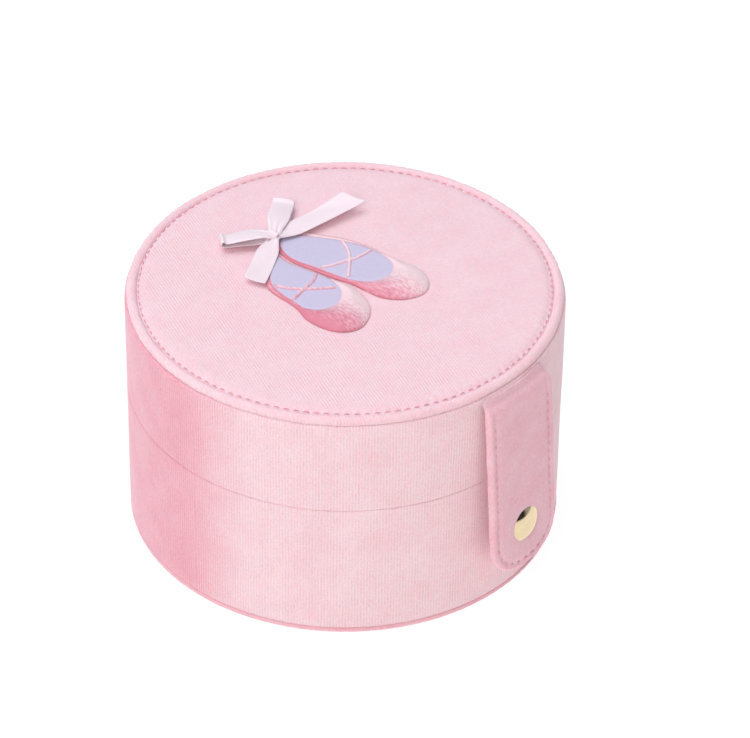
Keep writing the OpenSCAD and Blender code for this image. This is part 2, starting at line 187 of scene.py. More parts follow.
def bend(centre: tuple[float, float], radius: float, start: float, end: float, count: int) -> Profile:
    """Points on an arc of a profile, with angles in degrees from +radius towards +Z."""
    angles = [math.radians(start + (end - start) * i / count) for i in range(count + 1)]
    return [(centre[0] + radius * math.cos(a), centre[1] + radius * math.sin(a)) for a in angles]


def run(start: tuple[float, float], end: tuple[float, float], count: int) -> Profile:
    """Points along a straight stretch of a profile, both ends included."""
    return [(start[0] + (end[0] - start[0]) * i / count, start[1] + (end[1] - start[1]) * i / count)
            for i in range(count + 1)]


def reshape(obj: bpy.types.Object, move: Reshaper) -> bpy.types.Object:
    """Moves every vertex of a soft piece by a rule."""
    for vertex in obj.data.vertices:
        vertex.co = move(vertex.co)
    obj.data.update()
    return obj


def modify(obj: bpy.types.Object, kind: str, **settings: Any) -> bpy.types.Object:
    """Adds one modifier and applies it.

    Args:
        obj: The piece.
        kind: Blender's name for the modifier type.
        **settings: The modifier's own settings.

    Returns:
        The same piece, with the modifier's result as its mesh.
    """
    take(obj)
    modifier = obj.modifiers.new(kind.lower(), kind)
    for key, value in settings.items():
        setattr(modifier, key, value)
    bpy.ops.object.modifier_apply(modifier=modifier.name)
    return obj


def smooth(obj: bpy.types.Object, degrees: float = 40) -> bpy.types.Object:
    """Shades a piece smooth, apart from edges sharper than an angle."""
    take(obj)
    bpy.ops.object.shade_smooth_by_angle(angle=math.radians(degrees))
    return obj


def copy_node(node: str, name: str) -> bpy.types.Object:
    """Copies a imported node's mesh as the start of a soft piece.

    Args:
        node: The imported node.
        name: The new piece's name.

    Returns:
        A merged copy of the node's mesh, with no material.
    """
    mesh = bpy.data.objects[node].data.copy()
    mesh.materials.clear()
    mesh.name = name
    obj = bpy.data.objects.new(name, mesh)
    bpy.context.scene.collection.objects.link(obj)
    with editing(obj):
        bpy.ops.mesh.remove_doubles(threshold=0.002 * MM)
    return obj


def refine(obj: bpy.types.Object, cell: float, rounds: int = 2) -> bpy.types.Object:
    """Gives a solid an even fine mesh, and takes the steps out of it.

    Args:
        obj: A closed solid.
        cell: Size of the new mesh's squares.
        rounds: How often the vertices are smoothed.

    Returns:
        The same piece.
    """
    take(obj)
    obj.data.remesh_voxel_size = cell
    bpy.ops.object.voxel_remesh()
    with editing(obj):
        bpy.ops.mesh.vertices_smooth(factor=0.5, repeat=rounds)
    return obj


def copies(name: str, pattern: bpy.types.Object, places: Sequence[Matrix]) -> bpy.types.Object:
    """Copies a pattern to every place and joins the copies.

    Args:
        name: The joined piece's name.
        pattern: The piece to copy, which is used up.
        places: A transform for each copy.

    Returns:
        One object that holds every copy.
    """
    made = []
    for place in places:
        one = bpy.data.objects.new(name, pattern.data.copy())
        one.data.transform(place)
        bpy.context.scene.collection.objects.link(one)
        made.append(one)
    take(made[0])
    for one in made:
        one.select_set(True)
    bpy.ops.object.join()
    bpy.data.objects.remove(pattern)
    made[0].name = made[0].data.name = name
    return made[0]


def lay_uv(obj: bpy.types.Object, chart: Callable[[Vector, Vector], tuple[float, float]]) -> None:
    """Writes a UV map in metres, so that a weave keeps its size on the cloth.

    Args:
        obj: The piece.
        chart: Gives (u, v) for a corner, from the corner's place and its face's centre.
    """
    mesh = obj.data
    layer = mesh.uv_layers.new(name="cloth")
    for face in mesh.polygons:
        centre = face.center
        for loop in face.loop_indices:
            layer.data[loop].uv = chart(mesh.vertices[mesh.loops[loop].vertex_index].co, centre)


def round_chart(radius: float) -> Callable[[Vector, Vector], tuple[float, float]]:
    """A chart for cloth wrapped round +Z: u runs round and v runs up."""

    def chart(corner: Vector, centre: Vector) -> tuple[float, float]:
        middle = math.atan2(centre.y, centre.x)
        offset = math.atan2(corner.y, corner.x) - middle
        offset -= TAU * round(offset / TAU)
        return (middle + offset) * radius, corner.z - math.hypot(corner.x, corner.y)

    return chart


def mark(obj: bpy.types.Object, name: str, values: Sequence[float]) -> None:
    """Stores one number a vertex as a named attribute."""
    attribute = obj.data.attributes.new(name, "FLOAT", "POINT")
    attribute.data.foreach_set("value", np.asarray(values, np.float32))


def grain(place: Vector, size: float, seed: float = 0.0) -> float:
    """Smooth noise from -1 to 1 with features of the given size."""
    return noise.noise(place / size + Vector((seed, seed, seed)))


# ---------------------------------------------------------------- finishes


def linear(colour: str) -> tuple[float, float, float, float]:
    """Turns an sRGB hex colour into a linear one."""
    parts = [int(colour[i:i + 2], 16) / 255 for i in (1, 3, 5)]
    return (*[p / 12.92 if p <= 0.04045 else ((p + 0.055) / 1.055) ** 2.4 for p in parts], 1.0)


def add(tree: bpy.types.NodeTree, kind: str, inputs: dict[Any, Any] | None = None,
        **settings: Any) -> bpy.types.Node:
    """Adds a node with its settings and links.

    Args:
        tree: The material's node tree.
        kind: The node's type name.
        inputs: A value or another node's output for each input, by name or number.
        **settings: The node's own properties.

    Returns:
        The new node.
    """
    made = tree.nodes.new(kind)
    for key, value in settings.items():
        setattr(made, key, value)
    for key, value in (inputs or {}).items():
        if isinstance(value, bpy.types.NodeSocket):
            tree.links.new(value, made.inputs[key])
        else:
            made.inputs[key].default_value = value
    return made


def adjust(node: bpy.types.Node, values: dict[str, Any]) -> None:
    """Sets a node's inputs by name."""
    for key, value in values.items():
        node.inputs[key].default_value = value


def spot_of(tree: bpy.types.NodeTree) -> bpy.types.NodeSocket:
    """Adds the place on the piece, in its own frame."""
    return add(tree, "ShaderNodeTexCoord").outputs["Object"]


def noise_of(tree: bpy.types.NodeTree, place: Any, scale: float, **settings: float) -> bpy.types.NodeSocket:
    """Adds a Noise texture and returns its value."""
    return add(tree, "ShaderNodeTexNoise", {"Vector": place, "Scale": scale, **settings}).outputs[0]


def emboss(tree: bpy.types.NodeTree, surface: bpy.types.Node, height: Any, strength: float,
           distance: float) -> None:
    """Lifts a shader's surface by a height pattern."""
    lift = add(tree, "ShaderNodeBump", {"Strength": strength, "Distance": distance, "Height": height})
    tree.links.new(lift.outputs[0], surface.inputs["Normal"])


def math_of(tree: bpy.types.NodeTree, operation: str, *values: Any) -> bpy.types.NodeSocket:
    """Adds a Math node on up to three values and returns its output."""
    return add(tree, "ShaderNodeMath", dict(enumerate(values)), operation=operation).outputs[0]


def mix_of(tree: bpy.types.NodeTree, share: Any, low: Any, high: Any) -> bpy.types.NodeSocket:
    """Adds a colour Mix node and returns its output."""
    return add(tree, "ShaderNodeMix", {0: share, 6: low, 7: high}, data_type="RGBA").outputs[2]


def tint(tree: bpy.types.NodeTree, surface: bpy.types.Node, share: Any, low: str, high: str) -> None:
    """Colours a shader by a mix of two hex colours."""
    tree.links.new(mix_of(tree, share, linear(low), linear(high)), surface.inputs["Base Color"])


class Rib(Enum):
    """How the fine ribs of a velvet lie on a piece."""

    ROUND_THE_WALL = "round"
    ACROSS_THE_LID = "across"
    NONE = "none"


@dataclass(frozen=True)
class Finish:
    """A named surface finish."""

    name: str

    def shade(self, tree: bpy.types.NodeTree, surface: bpy.types.Node) -> None:
        """Adds this finish's pattern to a Principled shader."""
        raise NotImplementedError


@dataclass(frozen=True)
class Velvet(Finish):
    """Cotton velvet with a short brushed pile: no gloss, a pale bloom at grazing angles, cloudy patches.

    Its back half can be painted deeper: painted shade for the dimmer light at the back of the case.
    """

    pile: str
    deep: str
    rib: Rib = Rib.NONE
    rib_pitch: float = 0.8 * MM
    rib_heading: float = 24.0
    rib_fade: tuple[float, float] = (0.03, -0.03)
    fibre: float = 0.55 * MM
    cloud: float = 9 * MM
    bloom: float = 0.3
    level: float = 0.73
    cloudiness: float = 0.7
    tuftiness: float = 0.75
    ribbing: float = 0.2
    # how much painted shade deepens the back half
    back_painted_shade: float = 0.0

    def shade(self, tree: bpy.types.NodeTree, surface: bpy.types.Node) -> None:
        """Mixes two pile colours by clouds, tufts and ribs, which also lift the surface, and paints shade on the
        back half.
        """
        spot = spot_of(tree)
        clouds = noise_of(tree, spot, 1 / self.cloud, Detail=4.0, Roughness=0.6)
        tufts = noise_of(tree, spot, 1 / self.fibre, Detail=3.0, Roughness=0.7)
        patchy = math_of(tree, "MULTIPLY_ADD", clouds, self.cloudiness, self.level - 0.5 * self.cloudiness)
        lowered = math_of(tree, "ADD", patchy, -0.5 * self.tuftiness)
        tone = math_of(tree, "MULTIPLY_ADD", tufts, self.tuftiness, lowered)
        height = math_of(tree, "MULTIPLY", tufts, 0.7)
        if self.rib is not Rib.NONE:
            wave = self._ribs(tree, spot)
            worn = noise_of(tree, spot, 1 / (3 * MM), Detail=4.0)
            side = add(tree, "ShaderNodeSeparateXYZ", {0: spot}).outputs[0]
            kept = add(tree, "ShaderNodeMapRange", {0: side, 1: self.rib_fade[0], 2: self.rib_fade[1], 3: 0.25},
                       interpolation_type="SMOOTHSTEP").outputs[0]
            patchy = math_of(tree, "MULTIPLY", math_of(tree, "MULTIPLY_ADD", worn, -4.4, 3.0), kept)
            faded = math_of(tree, "MULTIPLY", wave, patchy)
            tone = math_of(tree, "MULTIPLY_ADD", faded, self.ribbing, tone)
            height = math_of(tree, "MULTIPLY_ADD", faded, 0.4, height)
        # painted shade: the colour goes deeper towards the back (+Y), where less light falls
        if self.back_painted_shade:
            along = add(tree, "ShaderNodeSeparateXYZ", {0: spot}).outputs[1]
            back = add(tree, "ShaderNodeMapRange", {0: along, 1: -20 * MM, 2: 6 * MM},
                       interpolation_type="SMOOTHSTEP").outputs[0]
            tone = math_of(tree, "MULTIPLY_ADD", back, -self.back_painted_shade, tone)
        share = add(tree, "ShaderNodeClamp", {0: tone}).outputs[0]
        emboss(tree, surface, height, 0.55, 0.12 * MM)
        tint(tree, surface, share, self.deep, self.pile)
        adjust(surface, {"Roughness": 0.92, "Specular IOR Level": 0.15, "Sheen Weight": self.bloom,
                         "Sheen Roughness": 0.45, "Sheen Tint": linear("#fff0f2"),
                         "Subsurface Weight": 0.35, "Subsurface Radius": (1.0, 0.25, 0.25),
                         "Subsurface Scale": 1.6 * MM})

    def _ribs(self, tree: bpy.types.NodeTree, spot: bpy.types.NodeSocket) -> bpy.types.NodeSocket:
        """A wave from -1 to 1 across the ribs, a little uneven as woven."""
        if self.rib is Rib.ROUND_THE_WALL:
            place = add(tree, "ShaderNodeUVMap", uv_map="cloth").outputs[0]
        else:
            turned = {"Vector": spot, "Rotation": (0, 0, math.radians(self.rib_heading))}
            place = add(tree, "ShaderNodeMapping", turned).outputs[0]
        across = add(tree, "ShaderNodeSeparateXYZ", {0: place}).outputs[0]
        wander = noise_of(tree, spot, 1 / (14 * MM))
        shift = math_of(tree, "MULTIPLY", wander, 5.0)
        phase = math_of(tree, "MULTIPLY_ADD", across, TAU / self.rib_pitch, shift)
        return math_of(tree, "SINE", phase)


@dataclass(frozen=True)
class Satin(Finish):
    """Polyester satin ribbon: long floats give a soft lengthwise gloss and a faint thread line."""

    colour: str
    shadow: str
    thread: float = 0.22 * MM
    gloss: float = 0.38

    def shade(self, tree: bpy.types.NodeTree, surface: bpy.types.Node) -> None:
        """Draws the floats along v and lets them tilt the surface a little."""
        place = add(tree, "ShaderNodeUVMap", uv_map="cloth").outputs[0]
        threads = add(tree, "ShaderNodeMapping",
                      {"Vector": place, "Scale": (1 / self.thread, 0.08 / self.thread, 1.0)}).outputs[0]
        floats = noise_of(tree, threads, 1.0, Detail=2.0)
        share = math_of(tree, "MULTIPLY_ADD", floats, 1.2, -0.15)
        emboss(tree, surface, floats, 0.12, 0.05 * MM)
        tint(tree, surface, share, self.shadow, self.colour)
        adjust(surface, {"Roughness": self.gloss, "Sheen Weight": 0.25, "Sheen Roughness": 0.3,
                         "Anisotropic": 0.5})


@dataclass(frozen=True)
class Embroidery(Finish):
    """Rayon satin stitch over padding: bright thread, shaded from white to deep pink across the toe."""

    light: str
    middle: str
    deep: str
    edge: str
    stitch: float = 0.5 * MM

    def shade(self, tree: bpy.types.NodeTree, surface: bpy.types.Node) -> None:
        """Shades by the stored tone and edge, broken up by the stitches."""
        spot = spot_of(tree)
        long = add(tree, "ShaderNodeMapping",
                   {"Vector": spot, "Rotation": (0, 0, math.radians(38)), "Scale": (1.0, 0.22, 1.0)}).outputs[0]
        threads = noise_of(tree, long, 1 / self.stitch, Detail=3.0, Roughness=0.65)
        tone = add(tree, "ShaderNodeAttribute", attribute_name="tone").outputs["Fac"]
        edge = add(tree, "ShaderNodeAttribute", attribute_name="edge").outputs["Fac"]
        ragged = math_of(tree, "ADD", tone, math_of(tree, "MULTIPLY_ADD", threads, 1.7, -0.85))
        ramp = add(tree, "ShaderNodeValToRGB", {0: ragged})
        ramp.color_ramp.elements[0].color = linear(self.deep)
        ramp.color_ramp.elements[0].position = 0.12
        ramp.color_ramp.elements[1].color = linear(self.light)
        ramp.color_ramp.elements[1].position = 0.88
        ramp.color_ramp.elements.new(0.5).color = linear(self.middle)
        colour = mix_of(tree, edge, ramp.outputs[0], linear(self.edge))
        emboss(tree, surface, threads, 0.5, 0.15 * MM)
        tree.links.new(colour, surface.inputs["Base Color"])
        adjust(surface, {"Roughness": 0.5, "Sheen Weight": 0.4, "Sheen Roughness": 0.4})


@dataclass(frozen=True)
class PlainWeave(Finish):
    """Plain-woven cloth: a fine over-and-under grid, matt, with slight mottling."""

    colour: str
    shadow: str
    edging: str
    pitch: float = 0.45 * MM

    def shade(self, tree: bpy.types.NodeTree, surface: bpy.types.Node) -> None:
        """Multiplies two waves into a grid of threads, with a line of stitching where the edge is marked."""
        spot = spot_of(tree)
        parts = add(tree, "ShaderNodeSeparateXYZ", {0: spot}).outputs
        waves = [math_of(tree, "SINE", math_of(tree, "MULTIPLY", part, TAU / self.pitch)) for part in parts[:2]]
        grid = math_of(tree, "MULTIPLY", waves[0], waves[1])
        mottle = noise_of(tree, spot, 1 / (1.2 * MM), Detail=4.0)
        share = math_of(tree, "MULTIPLY_ADD", grid, 0.22, mottle)
        emboss(tree, surface, grid, 0.25, 0.06 * MM)
        cloth = mix_of(tree, share, linear(self.shadow), linear(self.colour))
        edge = add(tree, "ShaderNodeAttribute", attribute_name="edge").outputs["Fac"]
        frayed = math_of(tree, "MULTIPLY_ADD", mottle, 0.5, edge)
        ragged = add(tree, "ShaderNodeMapRange", {0: frayed, 1: 0.6, 2: 1.0})
        colour = mix_of(tree, ragged.outputs[0], cloth, linear(self.edging))
        tree.links.new(colour, surface.inputs["Base Color"])
        adjust(surface, {"Roughness": 0.7, "Sheen Weight": 0.2})


@dataclass(frozen=True)
class Thread(Finish):
    """Spun polyester sewing thread: a fine slanting twist and a soft shine."""

    colour: str
    shadow: str
    twist: float = 0.3 * MM

    def shade(self, tree: bpy.types.NodeTree, surface: bpy.types.Node) -> None:
        """Draws the twist as diagonal bands."""
        spot = spot_of(tree)
        bands = add(tree, "ShaderNodeTexWave",
                    {"Vector": spot, "Scale": 0.3 / self.twist, "Distortion": 1.5},
                    bands_direction="DIAGONAL").outputs[1]
        emboss(tree, surface, bands, 0.4, 0.05 * MM)
        tint(tree, surface, bands, self.shadow, self.colour)
        surface.inputs["Roughness"].default_value = 0.55


@dataclass(frozen=True)
class Fibrous(Finish):
    """Matt stock made of matted fibre or cells, such as greyboard or foam."""

    colour: str
    shadow: str
    speck: float

    def shade(self, tree: bpy.types.NodeTree, surface: bpy.types.Node) -> None:
        """Specks the colour and pits the surface at one scale."""
        spot = spot_of(tree)
        specks = noise_of(tree, spot, 1 / self.speck, Detail=5.0, Roughness=0.7)
        emboss(tree, surface, specks, 0.3, 0.1 * MM)
        tint(tree, surface, specks, self.shadow, self.colour)
        surface.inputs["Roughness"].default_value = 0.9


@dataclass(frozen=True)
class GoldPlate(Finish):
    """Polished brass with a pale gold plate: a clear reflection, softened by faint polishing marks."""

    colour: str = "#e8d8b8"
    worn: str = "#dcc69e"

    def shade(self, tree: bpy.types.NodeTree, surface: bpy.types.Node) -> None:
        """Varies colour and roughness by faint cloudy marks."""
        spot = spot_of(tree)
        marks = noise_of(tree, spot, 1 / (1.4 * MM), Detail=5.0)
        rough = math_of(tree, "MULTIPLY_ADD", marks, 0.1, 0.08)
        tint(tree, surface, marks, self.worn, self.colour)
        tree.links.new(rough, surface.inputs["Roughness"])
        surface.inputs["Metallic"].default_value = 1.0


@dataclass(frozen=True)
class SilveredGlass(Finish):
    """Float glass silvered on its back: a sharp reflection with the faintest grey-green cast."""

    colour: str = "#e9f0ee"

    def shade(self, tree: bpy.types.NodeTree, surface: bpy.types.Node) -> None:
        """Keeps the face clean, with only a trace of wiping haze."""
        spot = spot_of(tree)
        haze = noise_of(tree, spot, 1 / (20 * MM), Detail=3.0)
        tree.links.new(math_of(tree, "MULTIPLY_ADD", haze, 0.03, 0.0), surface.inputs["Roughness"])
        adjust(surface, {"Base Color": linear(self.colour), "Metallic": 1.0, "Coat Weight": 0.4})


@lru_cache(maxsize=None)
def material_of(finish: Finish) -> bpy.types.Material:
    """Makes a finish's material once.

    Args:
        finish: The finish.

    Returns:
        Its material.
    """
    material = bpy.data.materials.new(finish.name)
    material.use_nodes = True
    finish.shade(material.node_tree, material.node_tree.nodes["Principled BSDF"])
    return material


# the wall velvet carries painted shade on its back half
WALL_VELVET = Velvet("velvet_wall", "#fde4e8", "#ea94a7", rib=Rib.ROUND_THE_WALL, level=0.8,
                     cloudiness=0.4, tuftiness=0.95, ribbing=0.13, back_painted_shade=0.52)
LID_VELVET = Velvet("velvet_lid", "#fbe2e7", "#eaa5b5", rib=Rib.ACROSS_THE_LID, level=0.76,
                    cloudiness=0.35, ribbing=0.07)
# the strap velvet: partly a deeper pink of its own, partly painted shade for the strap's dimmer light
STRAP_VELVET_PAINTED_SHADE = Velvet("velvet_strap_painted_shade", "#f5d5dd", "#de92a5", level=0.65, tuftiness=0.95)
WELT_VELVET = Velvet("velvet_welt", "#f6ccd4", "#df98a8")
LINING_VELVET = Velvet("velvet_lining", "#f7cdd5", "#efb4c0", cloud=14 * MM)
RIBBON = Satin("satin_ribbon", "#fbf2f6", "#f4e5ec")
TOE = Embroidery("satin_stitch_toe", "#f8dfe3", "#ecb4c1", "#dc8599", "#e08496")
INSOLE = PlainWeave("plain_weave_insole", "#d5d1e9", "#c9c6e2", "#de8597")
BAND = Embroidery("satin_stitch_band", "#f6e3ea", "#f2d3dd", "#e094a8", "#e094a8")
SEAM_THREAD = Thread("sewing_thread", "#eeb2bf", "#df94a5")
GREYBOARD = Fibrous("greyboard", "#c5bdae", "#a79d8c", 0.4 * MM)
FOAM = Fibrous("polyurethane_foam", "#f3ecd9", "#ddd2b8", 0.7 * MM)
PLATE = GoldPlate("gold_plated_brass")
GLASS = SilveredGlass("silvered_glass")


class Body(Enum):
    """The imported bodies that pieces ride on."""

    BASE = "base"
    LID = "lid"
    STRAP = "strap"


def dress(obj: bpy.types.Object, finish: Finish) -> bpy.types.Object:
    """Gives a new piece its finish as its only material.

    Args:
        obj: The piece.
        finish: Its finish.

    Returns:
        The same piece.
    """
    obj.data.materials.clear()
    obj.data.materials.append(material_of(finish))
    LOG.info("%s: %d faces, %s", obj.name, len(obj.data.polygons), finish.name)
    return obj


def fit(obj: bpy.types.Object, finish: Finish, slot: str, body: Body, *nodes: str) -> None:
    """Dresses a piece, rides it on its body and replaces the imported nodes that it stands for."""
    dress(obj, finish)
    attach(obj, body.value)
    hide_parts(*nodes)


def redress(node: str, finish: Finish) -> None:
    """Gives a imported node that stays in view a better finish."""
    obj = bpy.data.objects[node]
    if not obj.material_slots:
        obj.data.materials.append(None)
    for place in obj.material_slots:
        place.material = material_of(finish)
    LOG.info("%s: packed node, %s", node, finish.name)


# ---------------------------------------------------------------- sizes


@dataclass(frozen=True)
class CaseSizes:
    """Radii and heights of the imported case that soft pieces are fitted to."""

    rim_r: float
    wall_r: float
    board_r: float
    neck_r: float
    inside_r: float
    lid_board_in_r: float
    lining_t: float
    wall_low: float
    floor_z: float
    base_top: float
    neck_top: float
    lid_low: float
    ceiling: float
    crease: float
    top: float

    @classmethod
    def from_frame(cls) -> CaseSizes:
        """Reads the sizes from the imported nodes' boxes."""
        panel, cover, lid_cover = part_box("lid_top_panel"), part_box("base_wall_cover"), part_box("lid_wall_cover")
        lining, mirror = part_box("lid_lining"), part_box("lid_mirror")
        return cls(
            rim_r=panel[1].x, wall_r=cover[1].x, board_r=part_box("base_wall_board")[1].x,
            neck_r=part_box("neck_ring")[1].x, inside_r=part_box("floor_pad")[1].x,
            lid_board_in_r=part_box("lid_top_board")[1].x, lining_t=lining[1].z - mirror[1].z,
            wall_low=cover[0].z, floor_z=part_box("floor_pad")[1].z, base_top=cover[1].z,
            neck_top=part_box("base_lining")[1].z, lid_low=lid_cover[0].z, ceiling=lining[1].z,
            crease=panel[0].z, top=panel[1].z,
        )


def soft_wall(size: float, amount: float, seed: float) -> Reshaper:
    """A rule that lets a wrapped wall of cloth stand in and out a little.

    Args:
        size: Size of the swells.
        amount: How far they reach inwards at most.
        seed: Picks another pattern.

    Returns:
        The rule.
    """

    def move(place: Vector) -> Vector:
        inwards = amount * (0.5 + 0.5 * grain(place, size, seed))
        radius = math.hypot(place.x, place.y) or 1.0
        share = (radius - inwards) / radius
        return Vector((place.x * share, place.y * share, place.z))

    return move


# ---------------------------------------------------------------- stitches


@dataclass(frozen=True)
class Stitch:
    """One lockstitch: a short thread that dives into the cloth at both ends."""

    length: float = 3.0 * MM
    radius: float = 0.27 * MM
    dip: float = 0.42 * MM

    def pattern(self) -> bpy.types.Object:
        """Models one stitch at the origin, along +X with +Z outwards."""
        deselect()
        bpy.ops.mesh.primitive_uv_sphere_add(segments=8, ring_count=8, radius=self.radius,
                                             rotation=(0, math.pi / 2, 0))
        obj = named("stitch")
        stretch = self.length / 2 / self.radius

        def lay(place: Vector) -> Vector:
            along = place.x / self.radius
            plump = 1 - 0.35 * along * along
            x = place.x * stretch
            return Vector((x, place.y * plump, place.z * plump - self.dip * along ** 4))

        reshape(obj, lay)
        return smooth(obj, 180)


# ---------------------------------------------------------------- base


@dataclass
class BaseShell:
    """The base's covered wall, bottom, piping and lined neck."""

    size: CaseSizes
    steps: int = 256
    edge_r: float = 0.45 * MM
    nap: float = 0.13 * MM
    swell: float = 0.22 * MM
    piping_twist: int = 150

    def build(self) -> None:
        """Builds every piece of the shell."""
        self.wall()
        self.bottom()
        self.piping()
        self.lining()
        for node in ("bottom_board", "base_wall_board"):
            redress(node, GREYBOARD)

    def wall(self) -> None:
        """The velvet sleeve, turned over the wall's top edge."""
        s, e = self.size, self.edge_r
        turned = s.base_top - TURN_IN
        top = s.base_top + self.nap
        profile = (
            run((s.wall_r - 0.12 * MM, s.wall_low), (s.wall_r, s.wall_low + 1.2 * MM), 2)
            + run((s.wall_r, s.wall_low + 4 * MM), (s.wall_r, top - 2 * e), 10)
            + bend((s.wall_r - e, top - e), e, 0, 90, 6)
            + run((s.neck_r + 1.2 * MM, s.base_top), (s.neck_r + 0.1 * MM, s.base_top - 0.1 * MM), 1)
            + [(s.neck_r + 0.1 * MM, turned), (s.board_r, turned), (s.board_r, s.wall_low)]
        )
        obj = turn("base_velvet_wall", profile, self.steps)
        reshape(obj, soft_wall(24 * MM, self.swell, 3.1))
        lay_uv(obj, round_chart(s.wall_r))
        fit(smooth(obj, 60), WALL_VELVET, "pink_velvet", Body.BASE, "base_wall_cover")

    def bottom(self) -> None:
        """The velvet on the underside, drawn tight over its board."""
        low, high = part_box("bottom_cover")
        radius = high.x
        profile = (
            [(0.0, low.z + 0.05 * MM)]
            + run((radius * 0.2, low.z + 0.05 * MM), (radius - 3 * MM, low.z), 6)
            + bend((radius - 0.4 * MM, low.z + 0.4 * MM), 0.4 * MM, -90, 0, 4)
            + [(radius, high.z), (radius * 0.5, high.z), (0.0, high.z)]
        )
        obj = turn("bottom_velvet", profile, 128)
        fit(smooth(obj, 60), WELT_VELVET, "pink_velvet", Body.BASE, "bottom_cover")

    def piping(self) -> None:
        """The covered cord round the foot, puckered where its cloth is drawn round."""
        low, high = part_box("bottom_piping")
        tube = (high.z - low.z) / 2
        ring = high.x - tube
        deselect()
        bpy.ops.mesh.primitive_torus_add(major_radius=ring, minor_radius=tube, major_segments=600,
                                         minor_segments=14, location=(0, 0, tube))
        obj = named("foot_piping")

        def pucker(place: Vector) -> Vector:
            angle = math.atan2(place.y, place.x)
            out = math.hypot(place.x, place.y) - ring
            up = place.z - tube
            around = math.atan2(up, out)
            slim = 1 - 0.07 * (0.5 + 0.5 * math.sin(self.piping_twist * angle + 2 * around))
            slim -= 0.05 * (0.5 + 0.5 * grain(place, 7 * MM, 1.7))
            radius = ring + out * slim
            return Vector((radius * math.cos(angle), radius * math.sin(angle), tube + up * slim))

        reshape(obj, pucker)
        fit(smooth(obj, 180), WELT_VELVET, "welt_velvet", Body.BASE, "bottom_piping")

    def lining(self) -> None:
        """The lined neck: its velvet runs up the inside, over the top and down the outside."""
        s = self.size
        wall = s.neck_r - s.inside_r
        tip = wall / 2
        profile = (
            run((s.inside_r, s.wall_low), (s.inside_r, s.neck_top - tip), 14)
            + bend((s.inside_r + tip, s.neck_top - tip), tip, 180, 0, 10)
            + run((s.neck_r, s.neck_top - tip - MM), (s.neck_r, s.wall_low), 8)
        )
        obj = turn("neck_velvet", profile, self.steps)
        reshape(obj, soft_wall(16 * MM, 0.1 * MM, 7.7))
        lay_uv(obj, round_chart(s.inside_r))
        fit(smooth(obj, 60), LINING_VELVET, "lining_velvet", Body.BASE, "neck_ring", "base_lining")


